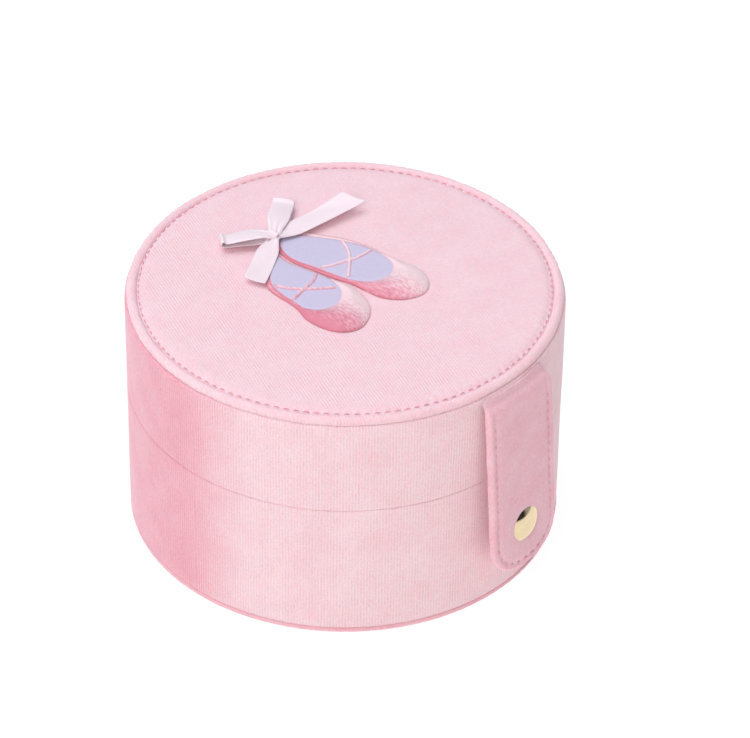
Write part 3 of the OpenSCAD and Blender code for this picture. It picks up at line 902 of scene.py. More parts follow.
@dataclass
class BaseFitting:
    """What the base holds: a padded floor, two dividers and a block of ring rolls."""

    size: CaseSizes
    roll_count: int = 4
    edge_r: float = 0.8 * MM

    def build(self) -> None:
        """Builds the floor, the dividers, the block and the rolls."""
        self.floor()
        self.divider("long_divider", "divider_long")
        self.divider("cross_divider", "divider_cross")
        self.block()
        self.rolls()

    def floor(self) -> None:
        """A thin round cushion with a rolled edge."""
        s, e = self.size, self.edge_r
        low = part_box("floor_pad")[0].z
        profile = (
            [(0.0, s.floor_z)]
            + run((4 * MM, s.floor_z), (s.inside_r - 3 * MM, s.floor_z - 0.05 * MM), 18)
            + bend((s.inside_r - e, s.floor_z - e), e, 80, 0, 5)
            + [(s.inside_r, low), (0.0, low)]
        )
        obj = turn("floor_cushion", profile, 160)

        def dimple(place: Vector) -> Vector:
            if place.z < s.floor_z - 0.3 * MM:
                return place
            return place - Vector((0, 0, 0.3 * MM * (0.5 + 0.5 * grain(place, 12 * MM, 5.5))))

        reshape(obj, dimple)
        fit(smooth(obj, 60), LINING_VELVET, "lining_velvet", Body.BASE, "floor_pad")

    def divider(self, node: str, name: str) -> None:
        """A card divider wrapped in velvet, with soft edges.

        Args:
            node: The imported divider.
            name: The new piece's name.
        """
        low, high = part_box(node)
        middle, span = (low + high) / 2, high - low
        deselect()
        bpy.ops.mesh.primitive_cube_add(size=1, location=middle)
        obj = bpy.context.object
        obj.scale = span
        obj = named(name)
        with editing(obj):
            bpy.ops.mesh.bevel(offset=self.edge_r, segments=4, affect="EDGES")
            bpy.ops.mesh.subdivide(number_cuts=7)

        def quilt(place: Vector) -> Vector:
            swell = 1 - 0.1 * (0.5 + 0.5 * grain(place, 9 * MM, 2.2))
            thin = 0 if span.x < span.y else 1
            place = place.copy()
            place[thin] = middle[thin] + (place[thin] - middle[thin]) * swell
            return place

        reshape(obj, quilt)
        fit(smooth(obj, 40), LINING_VELVET, "lining_velvet", Body.BASE, node)

    def block(self) -> None:
        """The raised platform under the rolls, wrapped in velvet."""
        obj = copy_node("ring_roll_block", "roll_platform")
        refine(obj, 0.9 * MM, 3)
        fit(smooth(obj, 50), LINING_VELVET, "lining_velvet", Body.BASE, "ring_roll_block")

    def rolls(self) -> None:
        """Foam rolls covered in velvet, each with tucked ends and a foot flattened on the block."""
        low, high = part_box("ring_rolls")
        pitch = (high.x - low.x + 0.3 * MM) / self.roll_count
        radius = (pitch - 0.3 * MM) / 2
        made = []
        for i in range(self.roll_count):
            x = high.x - radius - i * pitch
            reach = math.sqrt((self.size.inside_r - 0.7 * MM) ** 2 - (abs(x) + radius) ** 2)
            made.append(self._roll(x, reach, radius, high.z - radius, low.z))
        take(made[0])
        for obj in made:
            obj.select_set(True)
        bpy.ops.object.join()
        obj = made[0]
        obj.name = obj.data.name = "ring_roll_cushions"
        fit(smooth(obj, 60), LINING_VELVET, "lining_velvet", Body.BASE, "ring_rolls")

    def _roll(self, x: float, reach: float, radius: float, z: float, foot: float) -> bpy.types.Object:
        """One roll along Y at x, of half length reach, on the height foot."""
        tuck = 2.2 * MM
        profile = (
            [(0.0, -reach)]
            + run((radius * 0.25, -reach + 0.7 * MM), (radius * 0.5, -reach + 0.15 * MM), 2)
            + bend((radius - tuck, -reach + tuck), tuck, -90, 0, 6)
            + run((radius, -reach + 2 * tuck), (radius, reach - 2 * tuck), 36)
            + bend((radius - tuck, reach - tuck), tuck, 0, 90, 6)
            + run((radius * 0.5, reach - 0.15 * MM), (radius * 0.25, reach - 0.7 * MM), 2)
            + [(0.0, reach)]
        )
        obj = turn("roll", profile, 40)

        def settle(place: Vector) -> Vector:
            angle = math.atan2(place.y, place.x)
            plump = 1 - 0.05 * (0.5 + 0.5 * grain(Vector((x, place.z, angle * 3 * MM)), 6 * MM, 4.2))
            gather = 0.05 * max(0.0, abs(place.z) / reach - 0.9) / 0.1
            plump -= gather * (0.5 + 0.5 * math.sin(14 * angle))
            down = max(z + place.y * plump, foot)
            return Vector((x + place.x * plump, place.z, down))

        return reshape(obj, settle)


# ---------------------------------------------------------------- lid


@dataclass
class LidShell:
    """The lid's covered wall, padded top with its rolled rim, and lined inside with a mirror."""

    size: CaseSizes
    steps: int = 256
    edge_r: float = 0.45 * MM
    nap: float = 0.13 * MM
    stitch_pitch: float = 2.6 * MM
    groove_depth: float = 0.6 * MM
    gathers: int = 72
    stitch_r: float = field(init=False)
    stitch_count: int = field(init=False)

    def build(self) -> None:
        """Builds every piece of the lid apart from its decoration."""
        self.stitch_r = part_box("rim_topstitch")[1].x - 0.25 * MM
        self.stitch_count = round(TAU * self.stitch_r / self.stitch_pitch)
        self.wall()
        self.panel()
        self.stitches()
        self.lining()
        self.mirror()
        self.bezel()
        for node in ("lid_wall_board", "lid_top_board"):
            redress(node, GREYBOARD)
        for node in ("lid_foam_pad", "rim_filler_cord"):
            redress(node, FOAM)

    def wall(self) -> None:
        """The lid's velvet sleeve, turned under its lower edge."""
        s, e = self.size, self.edge_r
        turned = s.lid_low + TURN_IN
        profile = (
            [(s.rim_r - 1.5 * MM, s.crease + 0.2 * MM), (s.board_r, s.crease), (s.board_r, turned),
             (s.lid_board_in_r, turned),
             (s.lid_board_in_r, s.lid_low + 0.1 * MM), (s.lid_board_in_r + 1.2 * MM, s.lid_low)]
            + bend((s.wall_r - e, s.lid_low - self.nap + e), e, -90, 0, 6)
            + run((s.wall_r, s.lid_low + 2 * e), (s.wall_r, s.crease - 0.9 * MM), 8)
            + bend((s.wall_r - 0.9 * MM, s.crease - 0.4 * MM), 0.9 * MM, 0, 90, 6)
        )
        obj = turn("lid_velvet_wall", profile, self.steps)
        reshape(obj, soft_wall(22 * MM, 0.2 * MM, 9.4))
        lay_uv(obj, round_chart(s.wall_r))
        fit(smooth(obj, 60), WALL_VELVET, "pink_velvet", Body.LID, "lid_wall_cover")

    def panel(self) -> None:
        """The padded top: a flat field, a sewn groove and a plump rim rolled over a cord."""
        s = self.size
        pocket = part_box("lid_foam_pad")[1]
        rim_in = self.stitch_r + 0.55 * MM
        middle = ((rim_in + s.rim_r) / 2, (s.crease + s.top) / 2)
        half = ((s.rim_r - rim_in) / 2, (s.top - s.crease) / 2)
        roll = [(middle[0] + half[0] * math.cos(a), middle[1] + half[1] * math.sin(a))
                for a in [math.radians(170 - 260 * i / 22) for i in range(23)]]
        slope = [(self.stitch_r - d * MM, s.top - self.groove_depth * math.exp(-(d / 0.95) ** 2))
                 for d in (3.4, 2.6, 2.0, 1.5, 1.1, 0.8, 0.5, 0.25, 0.0)]
        profile = (
            [(0.0, s.top)]
            + run((3 * MM, s.top), (self.stitch_r - 4.4 * MM, s.top), 15)
            + slope + [(self.stitch_r + 0.25 * MM, s.top - self.groove_depth * 0.97)] + roll
            + [(pocket.x, s.crease), (pocket.x, pocket.z + 0.02 * MM), (0.0, pocket.z + 0.02 * MM)]
        )
        obj = turn("lid_velvet_top", profile, self.stitch_count * 7)
        reshape(obj, self._pucker)
        fit(smooth(obj, 60), LID_VELVET, "pink_velvet", Body.LID, "lid_top_panel")

    def _pucker(self, place: Vector) -> Vector:
        """Draws the cloth in at every stitch and lets the field and rim swell between."""
        s = self.size
        radius = math.hypot(place.x, place.y)
        if radius < MM or place.z < s.top - 1.6 * MM and radius < self.stitch_r:
            return place
        angle = math.atan2(place.y, place.x)
        pull = 0.5 + 0.5 * math.cos(self.stitch_count * angle)
        near = math.exp(-((radius - self.stitch_r) / (1.5 * MM)) ** 2)
        drop = 0.22 * MM * near * pull + 0.12 * MM * (0.5 + 0.5 * grain(place, 16 * MM, 6.1))
        out = 1.0
        if radius > self.stitch_r + 0.6 * MM:
            uneven = 0.5 + 0.5 * grain(place, 5 * MM, 8.3)
            out = 1 - (0.28 * MM * uneven + 0.12 * MM * pull) / radius
        return Vector((place.x * out, place.y * out, place.z - drop))

    def stitches(self) -> None:
        """The ring of stitches that sews the top panel down."""
        pattern = Stitch(length=1.75 * MM, radius=0.18 * MM, dip=0.36 * MM).pattern()
        z = self.size.top - self.groove_depth + 0.04 * MM
        places = [Matrix.Rotation(TAU * (i + 0.5) / self.stitch_count, 4, "Z")
                  @ Matrix.Translation((0, -self.stitch_r, z)) for i in range(self.stitch_count)]
        obj = copies("rim_stitches", pattern, places)
        fit(obj, SEAM_THREAD, "thread", Body.LID, "rim_topstitch")

    def lining(self) -> None:
        """The lid's velvet lining: a shallow drum with a soft corner."""
        s = self.size
        inner = s.lid_board_in_r - s.lining_t
        under = s.ceiling - s.lining_t
        corner = 1.6 * MM
        profile = (
            [(0.0, s.ceiling), (s.lid_board_in_r * 0.6, s.ceiling), (s.lid_board_in_r, s.ceiling),
             (s.lid_board_in_r, s.lid_low + 0.2 * MM)]
            + bend((s.lid_board_in_r - s.lining_t / 2, s.lid_low + s.lining_t / 2), s.lining_t / 2,
                   -60, -180, 4)
            + run((inner, s.lid_low + MM), (inner, under - 2 * corner), 8)
            + bend((inner - corner, under - corner), corner, 0, 90, 5)
            + [(s.lid_board_in_r * 0.6, under), (0.0, under)]
        )
        obj = turn("lid_lining_velvet", profile, 192)
        lay_uv(obj, round_chart(inner))
        fit(smooth(obj, 60), LINING_VELVET, "lining_velvet", Body.LID, "lid_lining")

    def mirror(self) -> None:
        """A round mirror with a bevelled edge."""
        low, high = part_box("lid_mirror")
        r, bevel = high.x, 1.6 * MM
        profile = [(0.0, high.z), (r, high.z), (r, low.z + 0.9 * MM), (r - bevel, low.z), (0.0, low.z)]
        obj = turn("round_mirror", profile, 160)
        fit(smooth(obj, 12), GLASS, "mirror_glass", Body.LID, "lid_mirror")

    def bezel(self) -> None:
        """The padded ring round the mirror, its velvet gathered towards the glass."""
        low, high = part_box("mirror_bezel")
        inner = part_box("lid_mirror")[1].x
        half = (high.x - inner) / 2
        drop = high.z - low.z
        arch = [(inner + half + half * math.cos(a), high.z - drop * math.sin(a) ** 0.8)
                for a in [math.radians(180 * i / 24) for i in range(25)]]
        obj = turn("mirror_roll", arch, self.gathers * 8)

        def gather(place: Vector) -> Vector:
            radius = math.hypot(place.x, place.y)
            angle = math.atan2(place.y, place.x)
            depth = (high.z - place.z) / drop
            inwards = max(0.0, 1 - (radius - inner) / (1.6 * half))
            fold = 0.5 + 0.5 * math.sin(self.gathers * angle + 3 * grain(place, 8 * MM, 3.3))
            plump = 1 - 0.3 * inwards * fold * depth
            return Vector((place.x, place.y, high.z - (high.z - place.z) * plump))

        reshape(obj, gather)
        fit(smooth(obj, 60), LINING_VELVET, "lining_velvet", Body.LID, "mirror_bezel")


# ---------------------------------------------------------------- slippers and bow


class Side(Enum):
    """Which slipper of the pair."""

    LEFT = "left"
    RIGHT = "right"


@dataclass
class Slippers:
    """The pair of embroidered slippers: padded toes, woven insoles and crossed bands."""

    cell: float = 0.3 * MM
    toe_rise: float = 2.0 * MM
    toe_width: float = 6.5 * MM
    rim_width: float = 0.7 * MM
    sole_grow: float = 0.9 * MM
    toe_start: float = 0.4

    def build(self) -> None:
        """Builds both slippers."""
        for side in Side:
            self.upper(side)
            self.insole(side)
            self.bands(side)

    def outline_distance(self, node: str) -> Callable[[Vector], float]:
        """Measures how far a point is from a flat node's outline.

        Args:
            node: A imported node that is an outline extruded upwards.

        Returns:
            A function of a place, giving metres.
        """
        obj = copy_node(node, "outline")
        top = max(v.co.z for v in obj.data.vertices)
        faces = {}
        for face in obj.data.polygons:
            for key in face.edge_keys:
                faces.setdefault(key, []).append(face.normal.z > 0.5)
        spots = []
        for (a, b), up in faces.items():
            here, there = obj.data.vertices[a].co, obj.data.vertices[b].co
            if sum(up) == 1 and min(here.z, there.z) > top - 0.01 * MM:
                count = max(1, int((there - here).length / (0.15 * MM)))
                spots += [here.lerp(there, i / count) for i in range(count)]
        bpy.data.objects.remove(obj)
        tree = kdtree.KDTree(len(spots))
        for i, spot in enumerate(spots):
            tree.insert((spot.x, spot.y, 0), i)
        tree.balance()
        return lambda place: tree.find((place.x, place.y, 0))[2]

    def upper(self, side: Side) -> None:
        """The padded satin-stitched upper: full over the toe, a thin cord round the opening."""
        node = f"{side.value}_slipper_satin"
        low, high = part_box(node)
        depth = self.outline_distance(node)
        obj = refine(copy_node(node, f"{side.value}_slipper_upper"), self.cell, 3)
        flat_t = high.z - low.z
        width, length = high.x - low.x, high.y - low.y

        def crown(place: Vector) -> Vector:
            share = (place.z - low.z) / flat_t
            full = min(1.0, depth(place) / self.toe_width)
            toe = min(1.0, max(0.12, ((high.y - place.y) / length - self.toe_start) / 0.25))
            rise = flat_t * 0.45 + toe * self.toe_rise * (1 - (1 - full) ** 2) ** 0.8
            rise *= 1 + 0.06 * grain(place, 2.2 * MM, 1.3)
            return Vector((place.x, place.y, low.z + max(share, 0.0) * rise))

        reshape(obj, crown)
        tones, edges = [], []
        for vertex in obj.data.vertices:
            across = (vertex.co.x - low.x) / width
            forward = (high.y - vertex.co.y) / length
            tones.append(1.55 * across - 0.12 - 0.35 * (forward - 0.75))
            edges.append(1 - min(1.0, depth(vertex.co) / self.rim_width) if forward < 0.72 else 0.0)
        mark(obj, "tone", tones)
        mark(obj, "edge", edges)
        fit(smooth(obj, 180), TOE, "slipper_satin", Body.LID, node)

    def insole(self, side: Side) -> None:
        """The woven insole, slightly domed inside its cord."""
        node = f"{side.value}_slipper_insole"
        low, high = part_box(node)
        depth = self.outline_distance(node)
        obj = refine(copy_node(node, f"{side.value}_slipper_sole_cloth"), 0.22 * MM, 1)
        middle = (low + high) / 2
        grow = Vector((1 + 2 * self.sole_grow / (high.x - low.x), 1 + 2 * self.sole_grow / (high.y - low.y)))

        def dome(place: Vector) -> Vector:
            share = (place.z - low.z) / (high.z - low.z)
            lift = 0.3 * MM * math.sin(min(1.0, depth(place) / (1.2 * MM)) * math.pi / 2)
            return Vector((middle.x + (place.x - middle.x) * grow.x, middle.y + (place.y - middle.y) * grow.y,
                           place.z + share * lift))

        edges = [1 - min(1.0, depth(vertex.co) / (0.8 * MM)) for vertex in obj.data.vertices]
        reshape(obj, dome)
        mark(obj, "edge", edges)
        fit(smooth(obj, 60), INSOLE, "insole_satin", Body.LID, node)

    def bands(self, side: Side) -> None:
        """The two crossed bands, raised satin stitch with a deeper outline."""
        node = f"{side.value}_slipper_ribbons"
        low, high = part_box(node)
        depth = self.outline_distance(node)
        obj = refine(copy_node(node, f"{side.value}_slipper_bands"), 0.16 * MM, 2)

        def crown(place: Vector) -> Vector:
            share = (place.z - low.z) / (high.z - low.z)
            full = min(1.0, depth(place) / (0.5 * MM))
            return Vector((place.x, place.y, low.z + share * (0.35 + 0.45 * full) * MM))

        reshape(obj, crown)
        mark(obj, "tone", [0.85 if side is Side.RIGHT else 0.4] * len(obj.data.vertices))
        mark(obj, "edge", [0.9 - 0.9 * min(1.0, depth(v.co) / (0.33 * MM)) for v in obj.data.vertices])
        fit(smooth(obj, 180), BAND, "ribbon_satin", Body.LID, node)


class Limb(Enum):
    """The kinds of ribbon limb on a bow."""

    LOOP = "loop"
    TAIL = "tail"


@dataclass
class Bow:
    """The bow of satin ribbon: two loops, two tails and a knot drawn tight round them."""

    width: float = 6 * MM
    thickness: float = 0.22 * MM
    across: int = 10
    loop_height: float = 1.1 * MM
    waist: float = 0.56
    knot: Vector = field(init=False)

    def build(self) -> None:
        """Builds the four limbs and the knot."""
        low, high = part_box("bow_knot")
        self.knot = (low + high) / 2
        self.knot.z = low.z
        self.limb("left_bow_loop", Limb.LOOP, 14.5 * MM, roll=13)
        self.limb("right_bow_loop", Limb.LOOP, 16.5 * MM, roll=8)
        self.limb("left_bow_tail", Limb.TAIL, 20 * MM, roll=-5, slant=10, lift=0.3 * MM)
        self.limb("right_bow_tail", Limb.TAIL, 27 * MM, roll=10, slant=-32, lift=2.6 * MM, veer=-4)
        self.tie()

    def limb(self, node: str, kind: Limb, length: float, roll: float, slant: float = 0.0,
             lift: float = 0.0, veer: float = 0.0) -> None:
        """One limb of ribbon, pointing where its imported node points.

        Args:
            node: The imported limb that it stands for.
            kind: A loop or a tail.
            length: How far the limb reaches from the knot.
            roll: How far the ribbon tips about its own length at its end, in degrees.
            slant: Slant of a tail's cut end, in degrees.
            lift: How far a tail's end stands up.
            veer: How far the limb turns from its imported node's heading, in degrees.
        """
        low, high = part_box(node)
        aim = (low + high) / 2 - self.knot
        heading = math.atan2(aim.y, aim.x) + math.radians(veer)
        path = self._loop(length) if kind is Limb.LOOP else self._tail(length, lift)
        steps = len(path) - 1
        deselect()
        bpy.ops.mesh.primitive_grid_add(x_subdivisions=self.across, y_subdivisions=steps, size=2)
        obj = named(f"{node}_ribbon")
        slope = math.tan(math.radians(slant))

        def lay(place: Vector) -> Vector:
            side, along = place.x, (place.y + 1) / 2
            spot = along * steps
            i = min(int(spot), steps - 1)
            out = path[i][0] + (path[i + 1][0] - path[i][0]) * (spot - i)
            up = path[i][1] + (path[i + 1][1] - path[i][1]) * (spot - i)
            free = min(1.0, max(0.0, out / (7 * MM)))
            free = free * free * (3 - 2 * free)
            half = self.width / 2 * (self.waist + (1 - self.waist) * free)
            crimp = (1 - free) * 0.45 * MM * math.cos(3 * math.pi * side)
            tip = math.radians(roll) * min(1.0, out / length)
            if kind is Limb.TAIL:
                out += slope * half * side * min(1.0, along * 1.2)
            across = side * half
            up += crimp + across * math.sin(tip) + 0.25 * MM * math.sin(5 * along + 2 * side) * free
            return Vector((out, across * math.cos(tip), up))

        reshape(obj, lay)
        lay_uv(obj, lambda corner, centre: (corner.y, corner.x))
        modify(obj, "SOLIDIFY", thickness=self.thickness, offset=0.0)
        modify(obj, "SUBSURF", levels=1, render_levels=1)
        obj.data.transform(Matrix.Translation(self.knot) @ Matrix.Rotation(heading, 4, "Z"))
        fit(smooth(obj, 60), RIBBON, "ribbon_satin", Body.LID, node)

    def _loop(self, length: float) -> list[tuple[float, float]]:
        """Side view of a loop: out over the top, round the end and back underneath."""
        h = self.loop_height
        base = 0.45 * MM
        top = [(length * t, base + h + 1.1 * h * math.sin(math.pi * min(1.0, 1.15 * t) ** 0.8) * (1 - 0.35 * t))
               for t in [i / 14 for i in range(14)]]
        end_r = h * 0.85
        mid = base + end_r
        nose = [(length - end_r + end_r * math.cos(a), mid + end_r * math.sin(a))
                for a in [math.radians(75 - 150 * i / 8) for i in range(9)]]
        back = [(length * t, base + 0.25 * h * math.sin(math.pi * t))
                for t in [i / 12 for i in range(10, -1, -1)]]
        return top + nose + back

    def _tail(self, length: float, lift: float) -> list[tuple[float, float]]:
        """Side view of a tail: down from the knot, along the lid and up at its end."""
        path = []
        for i in range(25):
            t = i / 24
            dip = 1.3 * MM * math.exp(-t * 7)
            path.append((length * t, 0.5 * MM + dip + lift * t ** 1.7 + 0.2 * MM * math.sin(6 * t)))
        return path

    def tie(self) -> None:
        """The knot: a short turn of ribbon, pleated and pinched round the four limbs."""
        deselect()
        bpy.ops.mesh.primitive_grid_add(x_subdivisions=12, y_subdivisions=40, size=2)
        obj = named("bow_knot_ribbon")

        def wrap(place: Vector) -> Vector:
            side, angle = place.x, math.pi * (place.y + 1)
            bulge = 1 - 0.28 * side * side + 0.07 * math.cos(3 * math.pi * side + math.sin(angle))
            half_x, half_z = 1.0 * MM * bulge, 1.45 * MM * bulge
            return Vector((half_x * math.cos(angle), 1.7 * MM * side, 1.5 * MM + half_z * math.sin(angle)))

        reshape(obj, wrap)
        close_up(obj, 0.02 * MM)
        lay_uv(obj, lambda corner, centre: (corner.y, math.atan2(corner.z - 1.5 * MM, corner.x) * 1.4 * MM))
        modify(obj, "SOLIDIFY", thickness=self.thickness, offset=-1.0)
        modify(obj, "SUBSURF", levels=1, render_levels=1)
        obj.data.transform(Matrix.Translation(self.knot) @ Matrix.Rotation(math.radians(-6), 4, "Z"))
        fit(smooth(obj, 60), RIBBON, "ribbon_satin", Body.LID, "bow_knot")


# ---------------------------------------------------------------- strap, snap and hinge


@dataclass
class Strap:
    """The front strap: a velvet tongue, sewn all round, that hangs from the seam under the rim."""

    size: CaseSizes
    joint: Vector
    lean: float = math.radians(4)
    thickness: float = 2.0 * MM
    back: float = 2.3 * MM
    flat: float = 3 * MM
    stitch_inset: float = 2.0 * MM
    stitch_pitch: float = 2.6 * MM
    cell: float = 0.4 * MM
    edge_r: float = 1.0 * MM
    shoulder: float = 2.6 * MM
    half: float = field(init=False)
    tip_r: float = field(init=False)
    length: float = field(init=False)
    place: Matrix = field(init=False)

    def build(self) -> None:
        """Builds the tongue and its stitches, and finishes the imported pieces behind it."""
        low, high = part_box("strap_cover")
        self.half = high.x
        self.tip_r = self.half - self.flat / 2
        self.length = (high.z - low.z) / math.cos(self.lean) - self.thickness * math.tan(self.lean)
        self.place = (Matrix.Translation((0, high.y - self.thickness * math.cos(self.lean), high.z))
                      @ Matrix.Rotation(-self.lean, 4, "X"))
        self.tongue()
        self.stitches()
        redress("strap_stiffener", GREYBOARD)
        redress("strap_lining", STRAP_VELVET_PAINTED_SHADE)

    def inset(self, place: Vector) -> float:
        """How far a point of the strap's own frame lies inside its outline."""
        bend_z = self.tip_r - self.length
        x = abs(place.x)
        if place.z > bend_z:
            return self.half - x
        if x < self.flat / 2:
            return place.z + self.length
        return self.tip_r - math.hypot(x - self.flat / 2, place.z - bend_z)

    def run_length(self, place: Vector) -> float:
        """Distance along the seam from the start of the tip's bend, upwards positive."""
        bend_z = self.tip_r - self.length
        if place.z > bend_z:
            return place.z - bend_z
        return -(self.tip_r - self.stitch_inset) * math.atan2(bend_z - place.z, abs(place.x) - self.flat / 2)

    def tongue(self) -> None:
        """The padded tongue, drawn in along its seam and bent in to the rim at its root."""
        deselect()
        bpy.ops.mesh.primitive_cube_add(
            size=1, location=(0, self.thickness / 2, -(self.length - self.tip_r) / 2))
        obj = bpy.context.object
        obj.scale = (2 * self.half, self.thickness, self.length - self.tip_r)
        obj = named("strap_velvet")
        with editing(obj):
            bpy.ops.mesh.select_all(action="DESELECT")
        for vertex in obj.data.vertices:
            vertex.select = vertex.co.z < -MM
        with editing(obj, pick_all=False):
            for i in range(1, 13):
                angle = math.pi / 2 * i / 12
                before = self.flat / 2 + self.tip_r * math.cos(math.pi / 2 * (i - 1) / 12)
                after = self.flat / 2 + self.tip_r * math.cos(angle)
                drop = self.tip_r * (math.sin(angle) - math.sin(math.pi / 2 * (i - 1) / 12))
                bpy.ops.mesh.extrude_region_move(TRANSFORM_OT_translate={"value": (0, 0, -drop)})
                bpy.ops.transform.resize(value=(after / before, 1, 1),
                                         center_override=(0, self.thickness / 2, -self.length))
        close_up(obj)
        refine(obj, self.cell, 2)
        root_z = self.size.crease - self.place.translation.z

        def upholster(place: Vector) -> Vector:
            inside = max(0.0, self.inset(place))
            front = 1 - place.y / self.thickness
            edge = max(0.0, 1 - inside / self.edge_r)
            pull = 0.5 + 0.5 * math.cos(TAU * self.run_length(place) / self.stitch_pitch)
            seam = math.exp(-((inside - self.stitch_inset) / (0.75 * MM)) ** 2)
            push = 0.75 * MM * (1 - math.sqrt(1 - min(1.0, edge) ** 2))
            turned = min(1.0, max(0.0, 1 + (place.z + root_z) / self.shoulder))
            push += (0.3 + 0.25 * pull) * MM * seam * (1 - turned)
            push -= 0.25 * MM * min(1.0, inside / (6 * MM)) + 0.1 * MM * grain(place, 7 * MM, 2.9)
            wobble = 1 + 0.012 * grain(place, 5 * MM, 5.1) - 0.006 * pull
            corner = max(0.0, abs(place.x) / self.half - 0.7) / 0.3
            push += 1.7 * MM * (1 - math.sqrt(1 - 0.98 * turned ** 2))
            stretch = max(0.0, 1 + place.z / (6 * MM))
            place = Vector((place.x * wobble * (1 - 0.06 * turned ** 2), place.y + front * push, place.z))
            place.z += stretch * (root_z + 0.4 * MM) - 0.4 * MM * corner ** 3 * turned
            placed = self.place @ place
            round_wall = self.size.wall_r - math.sqrt(self.size.wall_r ** 2 - placed.x ** 2)
            placed.y += stretch ** 3 * ((0.5 + 0.4 * front) * MM + stretch * round_wall)
            return placed

        reshape(obj, upholster)
        dress(smooth(obj, 180), STRAP_VELVET_PAINTED_SHADE)
        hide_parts("strap_cover", "strap_root")
        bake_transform(obj)

    def stitches(self) -> None:
        """The seam down both edges and round the tip."""
        pattern = Stitch(length=1.8 * MM, radius=0.22 * MM, dip=0.36 * MM).pattern()
        outwards = Matrix.Rotation(math.pi / 2, 4, "X")
        upright = Matrix.Rotation(math.pi / 2, 4, "Y")
        bend_z = self.tip_r - self.length
        radius = self.tip_r - self.stitch_inset
        rows = int((-bend_z - 3 * MM) / self.stitch_pitch)
        turns = round(math.pi / 2 * radius / self.stitch_pitch)
        depth = 0.3 * MM
        places = []
        for side in (-1, 1):
            for i in range(rows):
                spot = (side * (self.half - self.stitch_inset), depth, bend_z + (i + 0.5) * self.stitch_pitch)
                places.append(Matrix.Translation(spot) @ upright @ outwards)
            for i in range(turns):
                angle = math.pi / 2 * (i + 0.5) / turns
                spot = (side * (self.flat / 2 + radius * math.cos(angle)), depth,
                        bend_z - radius * math.sin(angle))
                lay = Matrix.Rotation(math.pi / 2 + side * angle, 4, "Y")
                places.append(Matrix.Translation(spot) @ lay @ outwards)
        places.append(Matrix.Translation((0, depth, -self.length + self.stitch_inset)) @ outwards)
        obj = copies("strap_stitches", pattern, [self.place @ place for place in places])
        fit(obj, SEAM_THREAD, "thread", Body.STRAP, "strap_topstitch")


@dataclass
class Snap:
    """The metal snap: cap and socket on the strap, stud and rivet on the base."""

    strap: Strap
    steps: int = 64
    socket_wall: float = 2.3 * MM
    stud_gap: float = 0.35 * MM
    ball_r: float = 1.9 * MM

    def build(self) -> None:
        """Builds the three turned pieces of the snap."""
        low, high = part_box("snap_cap")
        cap_r = high.x
        strap = self.strap
        drop = (strap.place.translation.z - (low.z + high.z) / 2) / math.cos(strap.lean)
        outwards = Matrix.Translation((0, 0, -drop)) @ Matrix.Rotation(math.pi / 2, 4, "X")
        self.cap(cap_r, strap.place @ outwards)
        self.socket(strap.place @ Matrix.Translation((0, strap.back, -drop))
                    @ Matrix.Rotation(-math.pi / 2, 4, "X"))
        self.stud()
        redress("snap_stud_rivet", PLATE)

    def cap(self, radius: float, place: Matrix) -> None:
        """The domed cap, with a rolled lip pressed into the velvet."""
        rise, top, lip = 1.5 * MM, 1.6 * MM, 0.3 * MM
        ball = (radius ** 2 + rise ** 2) / (2 * rise)
        slope = math.asin(radius / ball)
        dome = [(ball * math.sin(a), top + ball * (math.cos(a) - 1))
                for a in [slope * i / 14 for i in range(15)]]
        edge = (radius - lip * math.sin(slope), top - rise - lip * math.cos(slope))
        profile = (
            [(0.0, top)] + dome[1:-1]
            + bend(edge, lip, 90 - math.degrees(slope), -90, 7)
            + [(radius - 0.6 * MM, -0.35 * MM), (1.1 * MM, -0.35 * MM), (1.1 * MM, -2.8 * MM), (0.0, -2.8 * MM)]
        )
        obj = turn("snap_cap_dome", profile, self.steps)
        obj.data.transform(place)
        fit(smooth(obj, 35), PLATE, "snap_brass", Body.STRAP, "snap_cap")

    def socket(self, place: Matrix) -> None:
        """The socket behind the strap: a pressed cup with a rolled edge and a spring ring in its mouth."""
        low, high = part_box("snap_socket")
        radius, depth = high.x, high.y - low.y - 0.6 * MM
        bore = radius - self.socket_wall + self.stud_gap
        profile = (
            [(1.1 * MM, 0.0), (radius - 0.5 * MM, 0.0)]
            + bend((radius - 0.45 * MM, 0.45 * MM), 0.45 * MM, -90, 90, 8)
            + run((radius - 0.9 * MM, 0.95 * MM), (bore + 1.0 * MM, 1.2 * MM), 3)
            + bend((bore + 0.45 * MM, depth - 0.45 * MM), 0.45 * MM, 20, 180, 8)
            + run((bore, depth - MM), (bore + 0.15 * MM, 0.5 * MM), 3)
            + [(1.1 * MM, 0.5 * MM)]
        )
        obj = turn("snap_socket_cup", profile, self.steps)
        obj.data.transform(place)
        fit(smooth(obj, 35), PLATE, "snap_brass", Body.STRAP, "snap_socket")

    def stud(self) -> None:
        """The stud on the base: a flange, a waist and a ball nose."""
        low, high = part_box("snap_stud")
        radius, depth = high.x, high.y - low.y
        ball = self.ball_r
        profile = (
            [(0.0, 0.0), (radius - 0.3 * MM, 0.0)]
            + bend((radius - 0.3 * MM, 0.3 * MM), 0.3 * MM, -90, 60, 6)
            + run((radius * 0.7, 0.55 * MM), (ball, 0.75 * MM), 2)
            + run((ball - 0.3 * MM, MM), (ball - 0.3 * MM, depth - 1.1 * MM), 2)
            + bend((ball - 0.55 * MM, depth - 0.55 * MM), 0.55 * MM, -50, 90, 8)
            + [(0.0, depth)]
        )
        obj = turn("snap_stud_ball", profile, self.steps)
        middle = (low + high) / 2
        obj.data.transform(Matrix.Translation((0, high.y, middle.z)) @ Matrix.Rotation(math.pi / 2, 4, "X"))
        fit(smooth(obj, 35), PLATE, "snap_brass", Body.BASE, "snap_stud")


